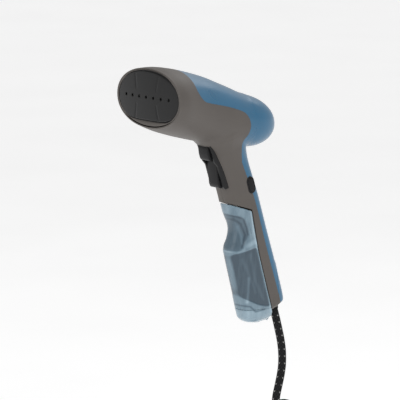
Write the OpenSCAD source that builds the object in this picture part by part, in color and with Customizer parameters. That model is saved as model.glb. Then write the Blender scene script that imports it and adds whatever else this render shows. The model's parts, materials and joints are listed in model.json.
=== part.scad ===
// Handheld garment steamer: flared steam head on a short barrel, a grip with two
// triggers and a power button, and a water tank that pulls off the front of the grip.
// X points forward with the steam, Y to the object's left and Z up. The origin is the
// middle of the grip, where the hand closes.

/* [Head] */
// Width of the rim round the steam plate
head_w = 112; // [95:1:137]
// Height of the rim round the steam plate
head_h = 67; // [60:1:84]
// Distance of the rim in front of the grip's middle
head_x = 133; // [111:1:160]
// Height of the rim's middle above the grip's middle
head_z = 132; // [126:1:142]
// Rim left round the steam plate at the sides of the head
plate_margin = 3.5; // [3:0.5:8]
// Thickness of the steam plate's skin
plate_skin = 2.4; // [2:0.1:3.5]
// How far the steam plate's middle bulges beyond its edge
plate_dome = 4; // [2:0.5:6]
// Distance between two steam holes
hole_pitch = 12.4; // [10:0.1:14]
// Diameter of a steam hole
hole_d = 3.2; // [2.5:0.1:4.5]

/* [Barrel] */
// Width of the barrel above the grip
barrel_w = 64; // [54:1:76]
// Height of the barrel's top above the grip's middle
barrel_top = 127; // [122:1:134]
// Height of the barrel's underside above the grip's middle
barrel_bottom = 65; // [60:1:68]
// How far the barrel reaches behind the grip's middle
barrel_rear = 47; // [44:1:58]
// Wall of the housing shells
wall = 2.6; // [2:0.1:3.2]

/* [Grip] */
// Lean of the grip from the vertical, in degrees
grip_tilt = 17; // [15:0.5:19]
// Depth of the grip from front to back
grip_d = 45; // [44:1:56]
// Width of the grip from side to side
grip_w = 38; // [36:1:46]
// Length of the spine below the grip's middle
spine_len = 136; // [128:1:163]

/* [Tank] */
// Length of the tank below the grip's middle
tank_len = 149; // [126:1:181]
// How far the tank's belly stands in front of the grip's axis
tank_belly = 35.5; // [33:1:46]
// Wall of the tank
tank_wall = 2; // [1.6:0.1:2.4]
// Gap between the tank and the housing
tank_gap = 0.5; // [0.4:0.1:1]

/* [Triggers] */
// Width of the steam trigger
trigger_w = 17; // [14.5:0.5:20]
// Gap round each trigger
trigger_gap = 0.5; // [0.4:0.1:1]
// Swing of each trigger, in degrees
trigger_swing = 7; // [5:1:8]
// Diameter of the trigger pins
pin_d = 2.4; // [2:0.1:3]

/* [Power button] */
// Length of the power button
button_len = 17; // [14:0.5:20]
// Width of the power button
button_w = 8; // [7:0.5:10]
// Travel of the power button
button_travel = 1.5; // [1:0.1:2]

/* [Boiler and pump] */
// Width of the boiler casting
boiler_w = 76; // [64:1:80]
// Height of the boiler casting
boiler_h = 38; // [32:1:44]
// Length of the boiler casting
boiler_len = 30; // [25:1:36]
// Diameter of the pump's coil
coil_d = 27; // [23:0.5:30]
// Length of the pump's coil
coil_len = 28; // [24:1:33]
// Diameter of the pump's plunger
plunger_d = 7.6; // [6.4:0.1:8.4]
// Stroke of the pump's plunger
plunger_stroke = 2; // [1.5:0.5:3]
// Outside diameter of the water tubes
tube_d = 6; // [5:0.5:7]

/* [Cord] */
// Diameter of the braided mains cord
cord_d = 9.4; // [8:0.1:11]
// Turns of cord in the tied hank
hank_turns = 5; // [4:1:6]

/* [Hidden] */
$fn = 48;

ring_n = 32;          // points round a moulded section
rim_square = 2.1;     // squareness of the barrel's sections, 2 is an ellipse
grip_square = 2.58;   // squareness of the grip's sections

neck_y = barrel_w / 2;
neck_zc = (barrel_top + barrel_bottom) / 2;
neck_hz = (barrel_top - barrel_bottom) / 2;

function lerp(a, b, t) = a + (b - a) * t;
function spow(v, e) = sign(v) * pow(abs(v), e);

// Catmull-Rom curve through rows of equal length, n steps between two rows
function cr(a, b, c, d, t) =
    0.5 * (2 * b + (c - a) * t + (2 * a - 5 * b + 4 * c - d) * t * t
        + (3 * b - a - 3 * c + d) * t * t * t);
function smooth(rows, n) = let (m = len(rows) - 1) concat(
    [for (i = [0 : m - 1], k = [0 : n - 1])
        cr(rows[max(i - 1, 0)], rows[i], rows[i + 1], rows[min(i + 2, m)], k / n)],
    [rows[m]]);

// Closed ring of a section across X
function ring_x(x, hy, top, bottom, sq) = [for (i = [0 : ring_n - 1])
    let (a = 360 * (i + 0.5) / ring_n)
    [x, hy * spow(cos(a), 2 / sq),
        (top + bottom) / 2 + (top - bottom) / 2 * spow(sin(a), 2 / sq)]];

// Points on and beside the grip's axis: s runs down the axis, d forward of it
function grip_pt(s, d, y) = [
    -s * sin(grip_tilt) + d * cos(grip_tilt), y, -s * cos(grip_tilt) - d * sin(grip_tilt)];
function ring_s(s, front, back, hy, sq) = [for (i = [0 : ring_n - 1])
    let (a = 360 * (i + 0.5) / ring_n)
    grip_pt(s, (front + back) / 2 + (front - back) / 2 * spow(cos(a), 2 / sq),
        hy * spow(sin(a), 2 / sq))];

// Solid through a list of rings
module loft(rings) {
    n = len(rings[0]);
    for (i = [0 : len(rings) - 2])
        hull() polyhedron(points = concat(rings[i], rings[i + 1]),
            faces = [[for (k = [0 : n - 1]) k], [for (k = [n : 2 * n - 1]) k]]);
}

// Barrel sections in front of the grip: share of the way to the rim, then shares of
// the way from the neck's section to the rim's for width, top and underside
barrel_front = [[1, 1, 1, 1], [0.9, 0.97, 1, 0.82], [0.76, 0.73, 0.92, 0.64],
    [0.61, 0.52, 0.79, 0.48], [0.45, 0.36, 0.62, 0.32], [0.30, 0.24, 0.42, 0.16],
    [0.15, 0.12, 0.225, 0.05], [0, 0, 0, 0]];
// Behind it the barrel closes in a quarter turn, in these steps of degrees
barrel_back = [14, 28, 42, 55, 67, 78, 86];
back_drop = 7.5;        // the closing end sits this much below the neck's middle
lip = 1.4;            // the wall thins to this at the rim
function barrel_rows(t) = concat(
    [for (i = [0 : len(barrel_front) - 1]) let (r = barrel_front[i],
        w = i == 0 ? min(t, lip) : t)
        [head_x * r[0] + (i == 0 && t > 0 ? 1 : 0),
            lerp(neck_y, head_w / 2, r[1]) - w,
            lerp(barrel_top, head_z + head_h / 2, r[2]) - w,
            lerp(barrel_bottom, head_z - head_h / 2, r[3]) + w]],
    [for (a = barrel_back) let (k = pow(cos(a), 1.1), zc = neck_zc - back_drop * sin(a))
        [-(barrel_rear - t) * sin(a), (neck_y - t) * k,
            zc + (neck_hz - t) * k, zc - (neck_hz - t) * k]]);
module barrel_solid(t) loft([for (r = smooth(barrel_rows(t), 2))
    ring_x(r[0], r[1], r[2], r[3], rim_square)]);

// Grip sections: place down the axis, front and back of the axis, half width
grip_f = grip_d / 2 - 1;
grip_b = grip_d / 2 + 1;
grip_y = grip_w / 2;
function grip_rows(t) = [
    [-86, grip_f + 8 - t, -grip_b - 1 + t, grip_y + 8 - t],
    [-70, grip_f + 5 - t, -grip_b + 2 + t, grip_y + 4 - t],
    [-50, grip_f + 2 - t, -grip_b + 3 + t, grip_y - t],
    [-25, grip_f - t, -grip_b + 2 + t, grip_y - t],
    [0, grip_f - t, -grip_b + 0.5 + t, grip_y - t],
    [40, grip_f - t, -grip_b + t, grip_y - t],
    [80, grip_f - t, -grip_b - 1 + t, grip_y - t],
    [spine_len - 10, grip_f - t, -grip_b - 1 + t, grip_y - t],
    [spine_len - 4, grip_f - t, -grip_b + 2 + t, grip_y - 2 - t],
    [spine_len - t, grip_f - t, -grip_b + 8 + t, grip_y - 5 - t]];
module grip_solid(t) loft([for (r = smooth(grip_rows(t), 1))
    ring_s(r[0], r[1], r[2], r[3], grip_square)]);

// Side outline of the space that the tank takes, in front of the spine
tank_top = [[60, 15], [24, 2], [-3.5, -7.2]];
function tank_back(s) = grip_pt(s, 2.5 + 0.008 * s, 0);
module side_prism(pts, half = 90) rotate([90, 0, 0])
    linear_extrude(2 * half, center = true) polygon(pts);
function xz(p) = [p[0], p[2]];
module tank_space(g) side_prism([tank_top[0] + [0, g], tank_top[1] + [0, g],
    tank_top[2] + [-g, g], xz(tank_back(60)) - [g, 0], xz(tank_back(180)) - [g, 0],
    [120, -180]]);

// Tank sections: place and reach of the front, place of the back, half width
tank_rows = [
    [-12, grip_f, 20, grip_y - 0.3], [8, grip_f, 30, grip_y - 1],
    [18, grip_f - 1, 36, grip_y - 2.5], [27, grip_f, 42, grip_y - 2.5],
    [36, grip_f + 5, 49, grip_y - 2], [43, tank_belly - 3, 55, grip_y - 0.8],
    [50, tank_belly - 1, 61, grip_y - 0.3], [66, tank_belly, 73, grip_y - 0.3],
    [100, tank_belly + 1, 105, grip_y - 0.3],
    [tank_len - 21, tank_belly + 2, tank_len - 13, grip_y - 0.3],
    [tank_len - 15, tank_belly + 1, tank_len - 9, grip_y - 1.2],
    [tank_len - 10, tank_belly - 3, tank_len - 6, grip_y - 3.5],
    [tank_len - 7, tank_belly - 9, tank_len - 4, grip_y - 7]];
function ring_t(f, b, hy, sq) = [for (i = [0 : ring_n - 1]) let (a = 360 * (i + 0.5) / ring_n)
    (f + b) / 2 + (f - b) / 2 * spow(cos(a), 2 / sq) + [0, hy * spow(sin(a), 2 / sq), 0]];
tank_rail = 6.5;      // the tank's rear edge is as wide as the grip back to this depth
module tank_solid(t) intersection() {
    union() {
        loft([for (r = smooth(tank_rows, 1))
            ring_t(grip_pt(min(r[0], tank_len - 7 - t), r[1] - t, 0),
                grip_pt(min(r[2], tank_len - 4 - t), -grip_b - 2 + t, 0), r[3] - t, grip_square)]);
        on_grip() translate([-5, t + 0.3 - grip_y, -52])
            cube([5 + tank_rail - t, 2 * (grip_y - 0.3 - t), 70]);
    }
    tank_space(-t);
}

// Region that the blue cover takes from the shells
seam = [[99, 200], [99, 148], [98, 140], [94, 133], [87, 128], [78, 125.5], [50, 119], [27, 112],
    [18, 107], [13, 100], [11, 92], [12, 84], [15, 76], [15, 66], [12, 50]];
module cover_space() side_prism(concat(seam,
    [xz(grip_pt(0, -9, 0)), xz(grip_pt(60, -9.5, 0)), xz(grip_pt(160, -12, 0)),
     [-150, -170], [-150, 200]]));

module shell_outer() { barrel_solid(0); grip_solid(0); }
module shell_inner() { barrel_solid(wall); grip_solid(wall); }

// ---- places that several pieces share ----
clear = 0.05;         // running clearance of pins, plungers and bores, radial
cheek_y = trigger_w / 2 + 3.5;
surround_side = [[10, 31], [17, 27.5], [23, 27], [25.5, 31], [26, 57], [29, 63],
    [30.5, 86.5], [10, 86.5]];
steam_pin = [20, 80];
boost_pin = [17.5, 59.5];
steam_rear = 14;      // back of each trigger at its pin; below the pin it slopes off by the
boost_rear = 13.5;    // swing, so a pulled trigger stands upright in its slot
function rear_at(d, pin, z) = d + (pin[1] - z) * tan(trigger_swing);
steam_side = [[steam_rear, 84], [31, 84.5], [33.2, 79], [33.7, 67.5], [32.2, 65.5],
    [rear_at(steam_rear, steam_pin, 65.5), 65.5], [steam_rear, steam_pin[1]]];
boost_side = [[boost_rear, 63.5], [23.5, 63.5], [25.2, 61], [29.6, 34], [28.8, 30.5],
    [25.5, 29], [rear_at(boost_rear, boost_pin, 29), 29], [boost_rear, boost_pin[1]]];
plunger_y = 4;        // the switch plungers stand left of the middle, the springs right
steam_plunger_z = 69;
boost_plunger_z = 41;

button_d = -8.5;      // middle of the power button, forward of the grip's axis
button_z = 20.5;      // and up the axis
button_face = grip_y + 0.8;
bezel_rim = 1.6;
bezel_len = button_len + 2 * bezel_rim;
bezel_w = button_w + 2 * bezel_rim;

neck_x = 8;           // the tank's neck stands on this vertical line
neck_r = 7.5;
neck_top = 8;
neck_foot = -13;       // underside of the valve housing, inside the tank
socket_bore = neck_r + 0.8;
socket_r = socket_bore + 2;

cord_axis_d = -13;    // the cord leaves the spine on this line
relief_r = 6.2;
relief_out = 7;       // how far the relief stands below the spine
clamp_s = spine_len - 27;

plate_x = head_x + 4;           // front of the steam plate's dome
plate_w = head_w - 2 * plate_margin;
plate_up = head_h / 2 - 3.6;
plate_down = head_h / 2 - 8;
dome_r = (pow(plate_w / 2, 2) + pow(plate_dome, 2)) / (2 * plate_dome);
gasket_t = 1.2;
hole_z = head_z + 1.5;
hole_count = 7;

boiler_x1 = head_x - 22;        // front of the casting
boiler_x0 = boiler_x1 - boiler_len + 3;
boiler_z = head_z - 5;
cover_t = 3;                    // boiler lid
nipple_r = 1.95;
nipple_len = 6;
tube_bore = (nipple_r + clear) / cos(180 / 12);
element_r = 3.25;
element_y = boiler_w / 2 - 16;
element_z = boiler_h / 4;

pump_z = neck_zc - 0.5;
coil_x0 = 2 - coil_len / 2;
coil_x1 = coil_x0 + coil_len;
pump_r = plunger_d / 2 + 2.2;
pump_x0 = coil_x0 - 8;
pump_x1 = coil_x1 + 18;
board_x = coil_x1 + 28;
board_y = -24;

function at_grip(p) = [p[0] * cos(grip_tilt) + p[1] * sin(grip_tilt),
    -p[0] * sin(grip_tilt) + p[1] * cos(grip_tilt)];
screw_at = [[head_x * 0.54, lerp(barrel_bottom, head_z - head_h / 2, 0.4) + wall + 6],
    at_grip([3, 56]), at_grip([grip_f - 6, 20.5]), at_grip([-5, -52]), at_grip([-5, -102])];
screw_r = 1.5;
boss_r = 3.4;
screw_head_y = -9;

base_z = -(tank_len - 23);      // the base closes the tank below this height
plug_d = 12;                    // filler plug, forward of the grip's axis
plug_r = 6;
pickup_d = 21.1;        // the pickup's foot, forward of the grip's axis
pickup_foot = [(pickup_d + (base_z + 8) * sin(grip_tilt)) / cos(grip_tilt), 0, base_z + 8];

// Route of the free cord, down from the spine
cord_route = [[-46, 0, -106], [-50, 0, -119], [-54, 0, -132], [-58, 0, -145],
    [-62, 0, -159], [-66, 0, -174], [-68.5, 0, -188], [-68.5, 0, -201], [-66, 0, -214],
    [-62, 0, -227], [-58, 0, -240], [-58, 0, -246]];
hank_front = -52.8;   // front of the folded bundle
hank_top = -246;
fold_r = 3 * cord_d;            // middle of the innermost turn at the folds
run_len = 15 * cord_d;
hank_r = fold_r + 1.5 * cord_d + 0.4;
waist_r = 2 * cord_d + 0.6;     // half width where the tie pinches the runs
hank_depth = (hank_turns - 1) * cord_d + 0.8;
cord_x = hank_front - hank_depth / 2;
tail_len = 12;
tail_x = hank_front - 0.2;      // the free end comes down in front of the folds
hank_mid = hank_top - hank_r - run_len / 2;
hank_bottom = hank_top - 2 * hank_r - run_len;
plug_top = hank_bottom - tail_len;

// Local frame of the grip: X forward of its axis, Z up the axis
module on_grip() rotate([0, grip_tilt, 0]) children();
module stadium(len, w) { square([len - w, w], center = true);
    for (k = [-1, 1]) translate([k * (len - w) / 2, 0]) circle(w / 2); }
// Outline of a plate across X, drawn with Y to the right and Z up
module across_x(x, len) translate([x, 0, 0]) rotate([90, 0, 90]) linear_extrude(len) children();
// Bar drawn in the side view and as wide as w
module side_bar(w) rotate([90, 0, 0]) linear_extrude(w, center = true) children();
module rod(p, q, r) { v = q - p; translate(p) rotate([0, acos(v[2] / norm(v)), atan2(v[1], v[0])])
    cylinder(h = norm(v), r = r); }
// Round tube swept along points, facets n; up is any direction off the path
function unit(v) = v / norm(v);
function rings_along(pts, r, n, up) = let (m = len(pts)) [for (i = [0 : m - 1])
    let (t = unit(pts[min(i + 1, m - 1)] - pts[max(i - 1, 0)]), u = unit(cross(t, up)),
        v = cross(t, u), k = 360 / n)
    each [for (j = [0 : n - 1]) pts[i] + r * (cos(k * j) * u + sin(k * j) * v)]];
function side_faces(m, n, start, out) = [for (i = [0 : m - 2], k = [0 : n - 1])
    let (a = start + i * n, b = a + n, j = (k + 1) % n)
    out ? [a + k, b + k, b + j, a + j] : [a + j, b + j, b + k, a + k]];
module sweep(pts, r, n, up) {
    m = len(pts);
    polyhedron(points = rings_along(pts, r, n, up), faces = concat(
        [[for (k = [0 : n - 1]) k]], [[for (k = [n - 1 : -1 : 0]) (m - 1) * n + k]],
        side_faces(m, n, 0, true)));
}
function rounded(pts) = smooth(pts, 5);
module hose(pts, r, bore) {
    path = rounded(pts);
    m = len(path);
    n = 12;
    polyhedron(points = concat(rings_along(path, r, n, [0, 1, 0]),
        rings_along(path, bore, n, [0, 1, 0])), faces = concat(side_faces(m, n, 0, true),
        side_faces(m, n, m * n, false),
        [for (k = [0 : n - 1]) let (j = (k + 1) % n) [k, j, m * n + j, m * n + k]],
        [for (k = [0 : n - 1]) let (j = (k + 1) % n, e = (m - 1) * n)
            [e + j, e + k, m * n + e + k, m * n + e + j]]));
}
// Helical spring along Z from 0 to len
module coil_spring(len, r, wire, turns) sweep([for (i = [0 : turns * 10])
    [r * cos(i * 36), r * sin(i * 36), wire / 2 + (len - wire) * i / (turns * 10)]],
    wire / 2, 6, [0, 0, 1]);

// Outline of the steam plate, Y to the right and Z up, grown by g
function plate_outline(g) = [for (i = [0 : 71]) let (a = 5 * i, up = sin(a) >= 0,
    n = up ? rim_square : 2.6)
    [(plate_w / 2 + g) * spow(cos(a), 2 / n),
        head_z + ((up ? plate_up : plate_down) + g) * spow(sin(a), 2 / n)]];
module dome(shrink) translate([plate_x - dome_r, 0, head_z])
    sphere(dome_r - shrink, $fn = 360);

// ---- housing ----
module boss_lines() for (p = screw_at) translate([p[0], 0, p[1]]) rotate([90, 0, 0])
    children();
module housing() difference() {
    union() {
        difference() {
            shell_outer();
            difference() { shell_inner(); tank_space(tank_gap + wall); }
        }
        intersection() {
            shell_outer();
            boss_lines() cylinder(h = head_w, r = boss_r, center = true, $fn = 24);
        }
    }
    tank_space(tank_gap);
    on_grip() side_bar(2 * cheek_y + 0.4) offset(0.2) polygon(surround_side);
    on_grip() translate([button_d, 0, button_z]) rotate([-90, 0, 0])
        linear_extrude(40) rotate(90) stadium(bezel_len + 0.4, bezel_w + 0.4);
    on_grip() translate([cord_axis_d, 0, -spine_len - 10])
        cylinder(h = 30, r = relief_r + 0.3);
    translate([neck_x, 0, -30]) cylinder(h = 60, r = socket_r + 0.1);
    boss_lines() translate([0, 0, -12]) cylinder(h = head_w, r = screw_r + 0.15, $fn = 24);
    boss_lines() translate([0, 0, -screw_head_y - 0.2])
        cylinder(h = head_w, r = 2 * screw_r + 0.3, $fn = 24);
}
module half_space(side) translate([-200, side < 0 ? -200 : 0, -300]) cube([500, 200, 600]);
module left_housing() color("#665f5a") difference() { housing(); half_space(-1); cover_space(); }
module right_housing() color("#665f5a") difference() { housing(); half_space(1); cover_space(); }
module top_cover() color("#376b92") intersection() { housing(); cover_space(); }

// ---- steam head ----
module bezel_outline() polygon([for (i = [0 : 71]) let (a = 5 * i)
    [(head_w / 2 - lip - 0.9) * spow(cos(a), 2 / rim_square),
        head_z + (head_h / 2 - lip - 0.9) * spow(sin(a), 2 / rim_square)]]);
module front_bezel() color("#665f5a") difference() {
    across_x(head_x - 2.4, 2.4) bezel_outline();
    across_x(head_x - 4, 6) polygon(plate_outline(gasket_t + 0.1));
}
module face_gasket() color("#1c1c1c") intersection() {
    across_x(head_x - 3, 20) difference() {
        polygon(plate_outline(gasket_t)); polygon(plate_outline(0.05));
    }
    dome(0.6);
}
module face_plate() color("#2b2b2b") difference() {
    intersection() { across_x(head_x - 8, 20) polygon(plate_outline(0)); dome(0); }
    intersection() { across_x(head_x - 9, 20) polygon(plate_outline(-plate_skin));
        dome(plate_skin); }
    for (k = [0 : hole_count - 1]) translate([head_x - 12, (k - (hole_count - 1) / 2)
        * hole_pitch, hole_z]) rotate([0, 90, 0]) cylinder(h = 30, d = hole_d);
}
module diffuser_plate() color("silver") difference() {
    across_x(head_x - 13, 1.2) polygon(plate_outline(-4));
    for (k = [0 : hole_count - 1], z = [-8, 8]) translate([head_x - 14, (k
        - (hole_count - 1) / 2) * hole_pitch, head_z - 2 + z])
        rotate([0, 90, 0]) cylinder(h = 4, d = hole_d);
}

// ---- boiler ----
module boiler_shape(x, len, grow) across_x(x, len) translate([0, boiler_z])
    stadium(boiler_w + 2 * grow, boiler_h + 2 * grow);
boiler_screw_at = concat([for (s = [-1, 1]) [s * (boiler_w / 2 - 4), 0]],
    [for (s = [-1, 1], t = [-1, 1]) [s * boiler_w / 5, t * (boiler_h / 2 - 3.5)]]);
module boiler_screw_lines() for (p = boiler_screw_at)
    translate([0, p[0], boiler_z + p[1]]) rotate([0, 90, 0]) children();
module element_shape(r, out) {
    x = boiler_x0 + 4.6;
    for (s = [-1, 1]) {
        rod([x, -element_y, boiler_z + s * element_z], [x, element_y, boiler_z + s * element_z], r);
        translate([x, -element_y, boiler_z + s * element_z]) sphere(r);
        rod([x, -element_y, boiler_z + s * element_z],
            [boiler_x0 - out, -element_y, boiler_z + s * element_z], r);
    }
    translate([x, element_y, boiler_z]) rotate([0, 90, 0])
        rotate_extrude(angle = 180) translate([element_z, 0]) circle(r);
}
module boiler_block() color("#b9bcc0") difference() {
    union() {
        boiler_shape(boiler_x0, boiler_x1 - boiler_x0, 0);
        rod([boiler_x0 - nipple_len, 0, boiler_z], [boiler_x0 + 1, 0, boiler_z], nipple_r);
    }
    boiler_shape(boiler_x0 + 9.5, boiler_len, -7);
    rod([boiler_x0 - nipple_len - 1, 0, boiler_z], [boiler_x0 + 10, 0, boiler_z], 1.2);
    element_shape(element_r + clear, 1);
    boiler_screw_lines() translate([0, 0, boiler_x1 - 10]) cylinder(h = 11, r = screw_r + clear);
}
module heating_element() color("#8d8f92") element_shape(element_r, 8);
module boiler_gasket() color("#c8552c") difference() {
    boiler_shape(boiler_x1, 1, 0);
    boiler_shape(boiler_x1 - 1, 3, -6.5);
    boiler_screw_lines() cylinder(h = boiler_x1 + 9, r = screw_r + clear);
}
module boiler_lid() color("#b9bcc0") difference() {
    union() {
        boiler_shape(boiler_x1 + 1, cover_t, 0);
        rod([boiler_x1 + 3, 0, boiler_z + 4], [head_x - 13.1, 0, boiler_z + 4], 6);
    }
    rod([boiler_x1 - 1, 0, boiler_z + 4], [head_x, 0, boiler_z + 4], 4);
    boiler_screw_lines() cylinder(h = boiler_x1 + 9, r = screw_r + clear);
}
module boiler_screws() color("#d8d8d8") boiler_screw_lines() {
    translate([0, 0, boiler_x1 - 8]) cylinder(h = 8 + 1 + cover_t, r = screw_r);
    translate([0, 0, boiler_x1 + 1 + cover_t]) cylinder(h = 1.8, r = screw_r + 1.2);
}
module heat_shield() color("#d9d4c6") difference() {
    boiler_shape(boiler_x0 + 6, boiler_len - 7, 3);
    boiler_shape(boiler_x0 + 5, boiler_len, 2);
}
module thermostat() color("#e6e0d0") {
    rod([boiler_x0 - 6, element_y + 4, boiler_z], [boiler_x0, element_y + 4, boiler_z], 7.5);
    for (s = [-1, 1]) translate([boiler_x0 - 12, element_y + 1, boiler_z + s * 4 - 0.4])
        cube([6.5, 6, 0.8]);
}
module thermal_fuse() color("#c9c9b8")
    rod([boiler_x0 - 2.1, -8, boiler_z + boiler_h / 2 - 4],
        [boiler_x0 - 2.1, 8, boiler_z + boiler_h / 2 - 4], 2);

// ---- pump ----
module pump_axis(x0, x1, r) rod([x0, 0, pump_z], [x1, 0, pump_z], r);
module pump_body() color("#e9e9e4") difference() {
    union() {
        pump_axis(pump_x0, pump_x1, pump_r);
        pump_axis(coil_x1 + 0.6, coil_x1 + 3, pump_r + 3);
        pump_axis(pump_x0 - nipple_len, pump_x1 + nipple_len, nipple_r);
    }
    pump_axis(pump_x0 + 6 - plunger_stroke, pump_x1 - 4, plunger_d / 2 + clear);
    pump_axis(pump_x0 - nipple_len - 1, pump_x1 + nipple_len + 1, 1.2);
}
module pump_coil() color("#7a3b1d") difference() {
    pump_axis(coil_x0, coil_x1, coil_d / 2);
    pump_axis(coil_x0 - 1, coil_x1 + 1, pump_r + 0.1);
}
module pump_bracket() color("#9ea3a6") difference() {
    translate([coil_x0 - 1.7, -8, pump_z - coil_d / 2 - 1.8]) cube([coil_len + 2.2, 16, 1.6]);
    translate([coil_x0, -4, pump_z - coil_d]) cube([coil_len - 3, 8, coil_d]);
}
module pump_bobbin_cheek() color("#ddd8cf") difference() {
    pump_axis(coil_x0 - 1.6, coil_x0 - 0.1, coil_d / 2);
    pump_axis(coil_x0 - 3, coil_x0 + 1, pump_r + 0.1);
}
module pump_plunger() color("#c0c4c8")
    pump_axis(pump_x0 + 6, pump_x0 + 6 + 20, plunger_d / 2);
module pump_spring() color("#a9a9a9") translate([pump_x0 + 26.2, 0, pump_z])
    rotate([0, 90, 0]) coil_spring(pump_x1 - pump_x0 - 30.4, plunger_d / 2 - 0.9, 0.9, 6);
module pump_mounts() color("#303030") for (x = [pump_x0 + 1, pump_x1 - 7])
    translate([x, -7, pump_z - pump_r - 5.4]) difference() {
        cube([5, 14, 12]);
        translate([-1, 7, pump_r + 5.4]) rotate([0, 90, 0]) cylinder(h = 7, r = pump_r + 0.1);
    }

// ---- water path in the housing ----
nipple_top = neck_top + 3.5 + nipple_len;
grip_bend = at_grip([-10, 42]);
grip_up = at_grip([-10, 62]);
module inlet_tube() color("#e8e8e8") hose([[neck_x, 0, neck_top + 4],
    [neck_x, 0, nipple_top + 0.5], [neck_x, 0, nipple_top + 4],
    [grip_bend[0], -6, grip_bend[1]], [grip_up[0], -5, grip_up[1]],
    [grip_up[0] + 1, -4, barrel_bottom + 9], [-10, -2, barrel_bottom + 11],
    [pump_x0 - 13, 0, pump_z - 14], [pump_x0 - 14.5, 0, pump_z - 5],
    [pump_x0 - nipple_len - 3, 0, pump_z], [pump_x0 - nipple_len - 0.5, 0, pump_z],
    [pump_x0 - 1, 0, pump_z]], tube_d / 2, tube_bore);
module outlet_tube() color("#e8e8e8") hose([[pump_x1 + 1, 0, pump_z],
    [pump_x1 + nipple_len + 1, 0, pump_z], [pump_x1 + nipple_len + 6, 0, pump_z],
    [boiler_x0 - nipple_len - 6, 0, boiler_z], [boiler_x0 - nipple_len - 1, 0, boiler_z],
    [boiler_x0 - 1, 0, boiler_z]], tube_d / 2, tube_bore);
module tank_coupling() color("#4b4642") difference() {
    union() {
        translate([neck_x, 0, -20]) cylinder(h = neck_top + 23.5, r = socket_r);
        translate([neck_x, 0, neck_top + 3]) cylinder(h = nipple_len + 0.5, r = nipple_r);
    }
    translate([neck_x, 0, -21]) cylinder(h = neck_top + 22, r = socket_bore);
    translate([neck_x, 0, 0]) cylinder(h = 40, r = 1.2);
    tank_space(tank_gap);
}

// ---- triggers ----
module y_pin(at, r, len) translate([at[0], 0, at[1]]) rotate([90, 0, 0])
    cylinder(h = len, r = r, center = true);
module trigger_surround() color("#262626") on_grip() difference() {
    side_bar(2 * cheek_y) polygon(surround_side);
    translate([12.5, -trigger_w / 2 - trigger_gap, 20])
        cube([40, trigger_w + 2 * trigger_gap, 80]);
    for (p = [steam_pin, boost_pin]) y_pin(p, pin_d / 2 + 0.01, 3 * cheek_y);
    for (z = [steam_plunger_z, boost_plunger_z]) translate([0, plunger_y, z])
        rotate([0, 90, 0]) cylinder(h = 20, r = 1.6);
}
module trigger_shape(side, pin, spring_z) on_grip() difference() {
    side_bar(trigger_w) polygon(side);
    y_pin(pin, pin_d / 2 + clear, 2 * trigger_w);
    translate([10, -plunger_y, spring_z]) rotate([0, 90, 0]) cylinder(h = 9, r = 2.9);
}
module steam_trigger() color("#1f1f1f") trigger_shape(steam_side, steam_pin, steam_plunger_z + 1);
module boost_trigger() color("#1f1f1f") trigger_shape(boost_side, boost_pin, boost_plunger_z - 2);
module steam_trigger_pin() color("silver") on_grip() y_pin(steam_pin, pin_d / 2, 2 * cheek_y - 1);
module boost_trigger_pin() color("silver") on_grip() y_pin(boost_pin, pin_d / 2, 2 * cheek_y - 1);
module trigger_spring(z) color("#b5b5b5") on_grip() translate([12.6, -plunger_y, z])
    rotate([0, 90, 0]) coil_spring(6.2, 2, 0.6, 4);
module steam_trigger_spring() trigger_spring(steam_plunger_z + 1);
module boost_trigger_spring() trigger_spring(boost_plunger_z - 2);
module switch_box(z) on_grip() translate([0, plunger_y - 7.5, z - 6]) cube([9.8, 11, 12]);
module micro_switches() color("#303438") {
    difference() { switch_box(steam_plunger_z); switch_bore(steam_plunger_z); }
    difference() { switch_box(boost_plunger_z); switch_bore(boost_plunger_z); }
}
module switch_bore(z) on_grip() translate([5, plunger_y, z]) rotate([0, 90, 0])
    cylinder(h = 10, r = 1.5 + clear);
module switch_plunger(z, rear, pin) on_grip() translate([7.5, plunger_y, z])
    rotate([0, 90, 0]) cylinder(h = rear_at(rear, pin, z + 1.5) - 7.5 - 0.15, r = 1.5);
module steam_plunger() color("#c8342c") switch_plunger(steam_plunger_z, steam_rear, steam_pin);
module boost_plunger() color("#c8342c") switch_plunger(boost_plunger_z, boost_rear, boost_pin);

// ---- power button ----
module button_bar(y0, y1, len, w) on_grip() translate([button_d, y0, button_z])
    rotate([-90, 0, 0]) linear_extrude(y1 - y0) rotate(90) stadium(len, w);
flange_y = button_face - 7.4;
module button_bezel() color("#1b1b1b") difference() {
    button_bar(flange_y + 1.6, button_face - 0.5, bezel_len, bezel_w);
    button_bar(flange_y, button_face + 1, button_len + 0.7, button_w + 0.7);
}
module power_button() color("#262626") difference() {
    union() {
        button_bar(flange_y, button_face, button_len, button_w);
        button_bar(flange_y, flange_y + 1.2, button_len + 2, button_w + 2);
    }
    on_grip() translate([button_d, flange_y - 1, button_z]) rotate([-90, 0, 0])
        cylinder(h = 6, r = 2.9);
}
module button_spring() color("#b5b5b5") on_grip()
    translate([button_d, flange_y - button_travel - 0.3, button_z])
    rotate([-90, 0, 0]) coil_spring(button_travel + 5.2, 2.1, 0.6, 5);
module power_switch() color("#2a3a55") on_grip()
    translate([button_d - 5, 3.2, button_z - 7]) cube([10,
        flange_y - button_travel - 0.4 - 3.2, 14]);

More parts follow.
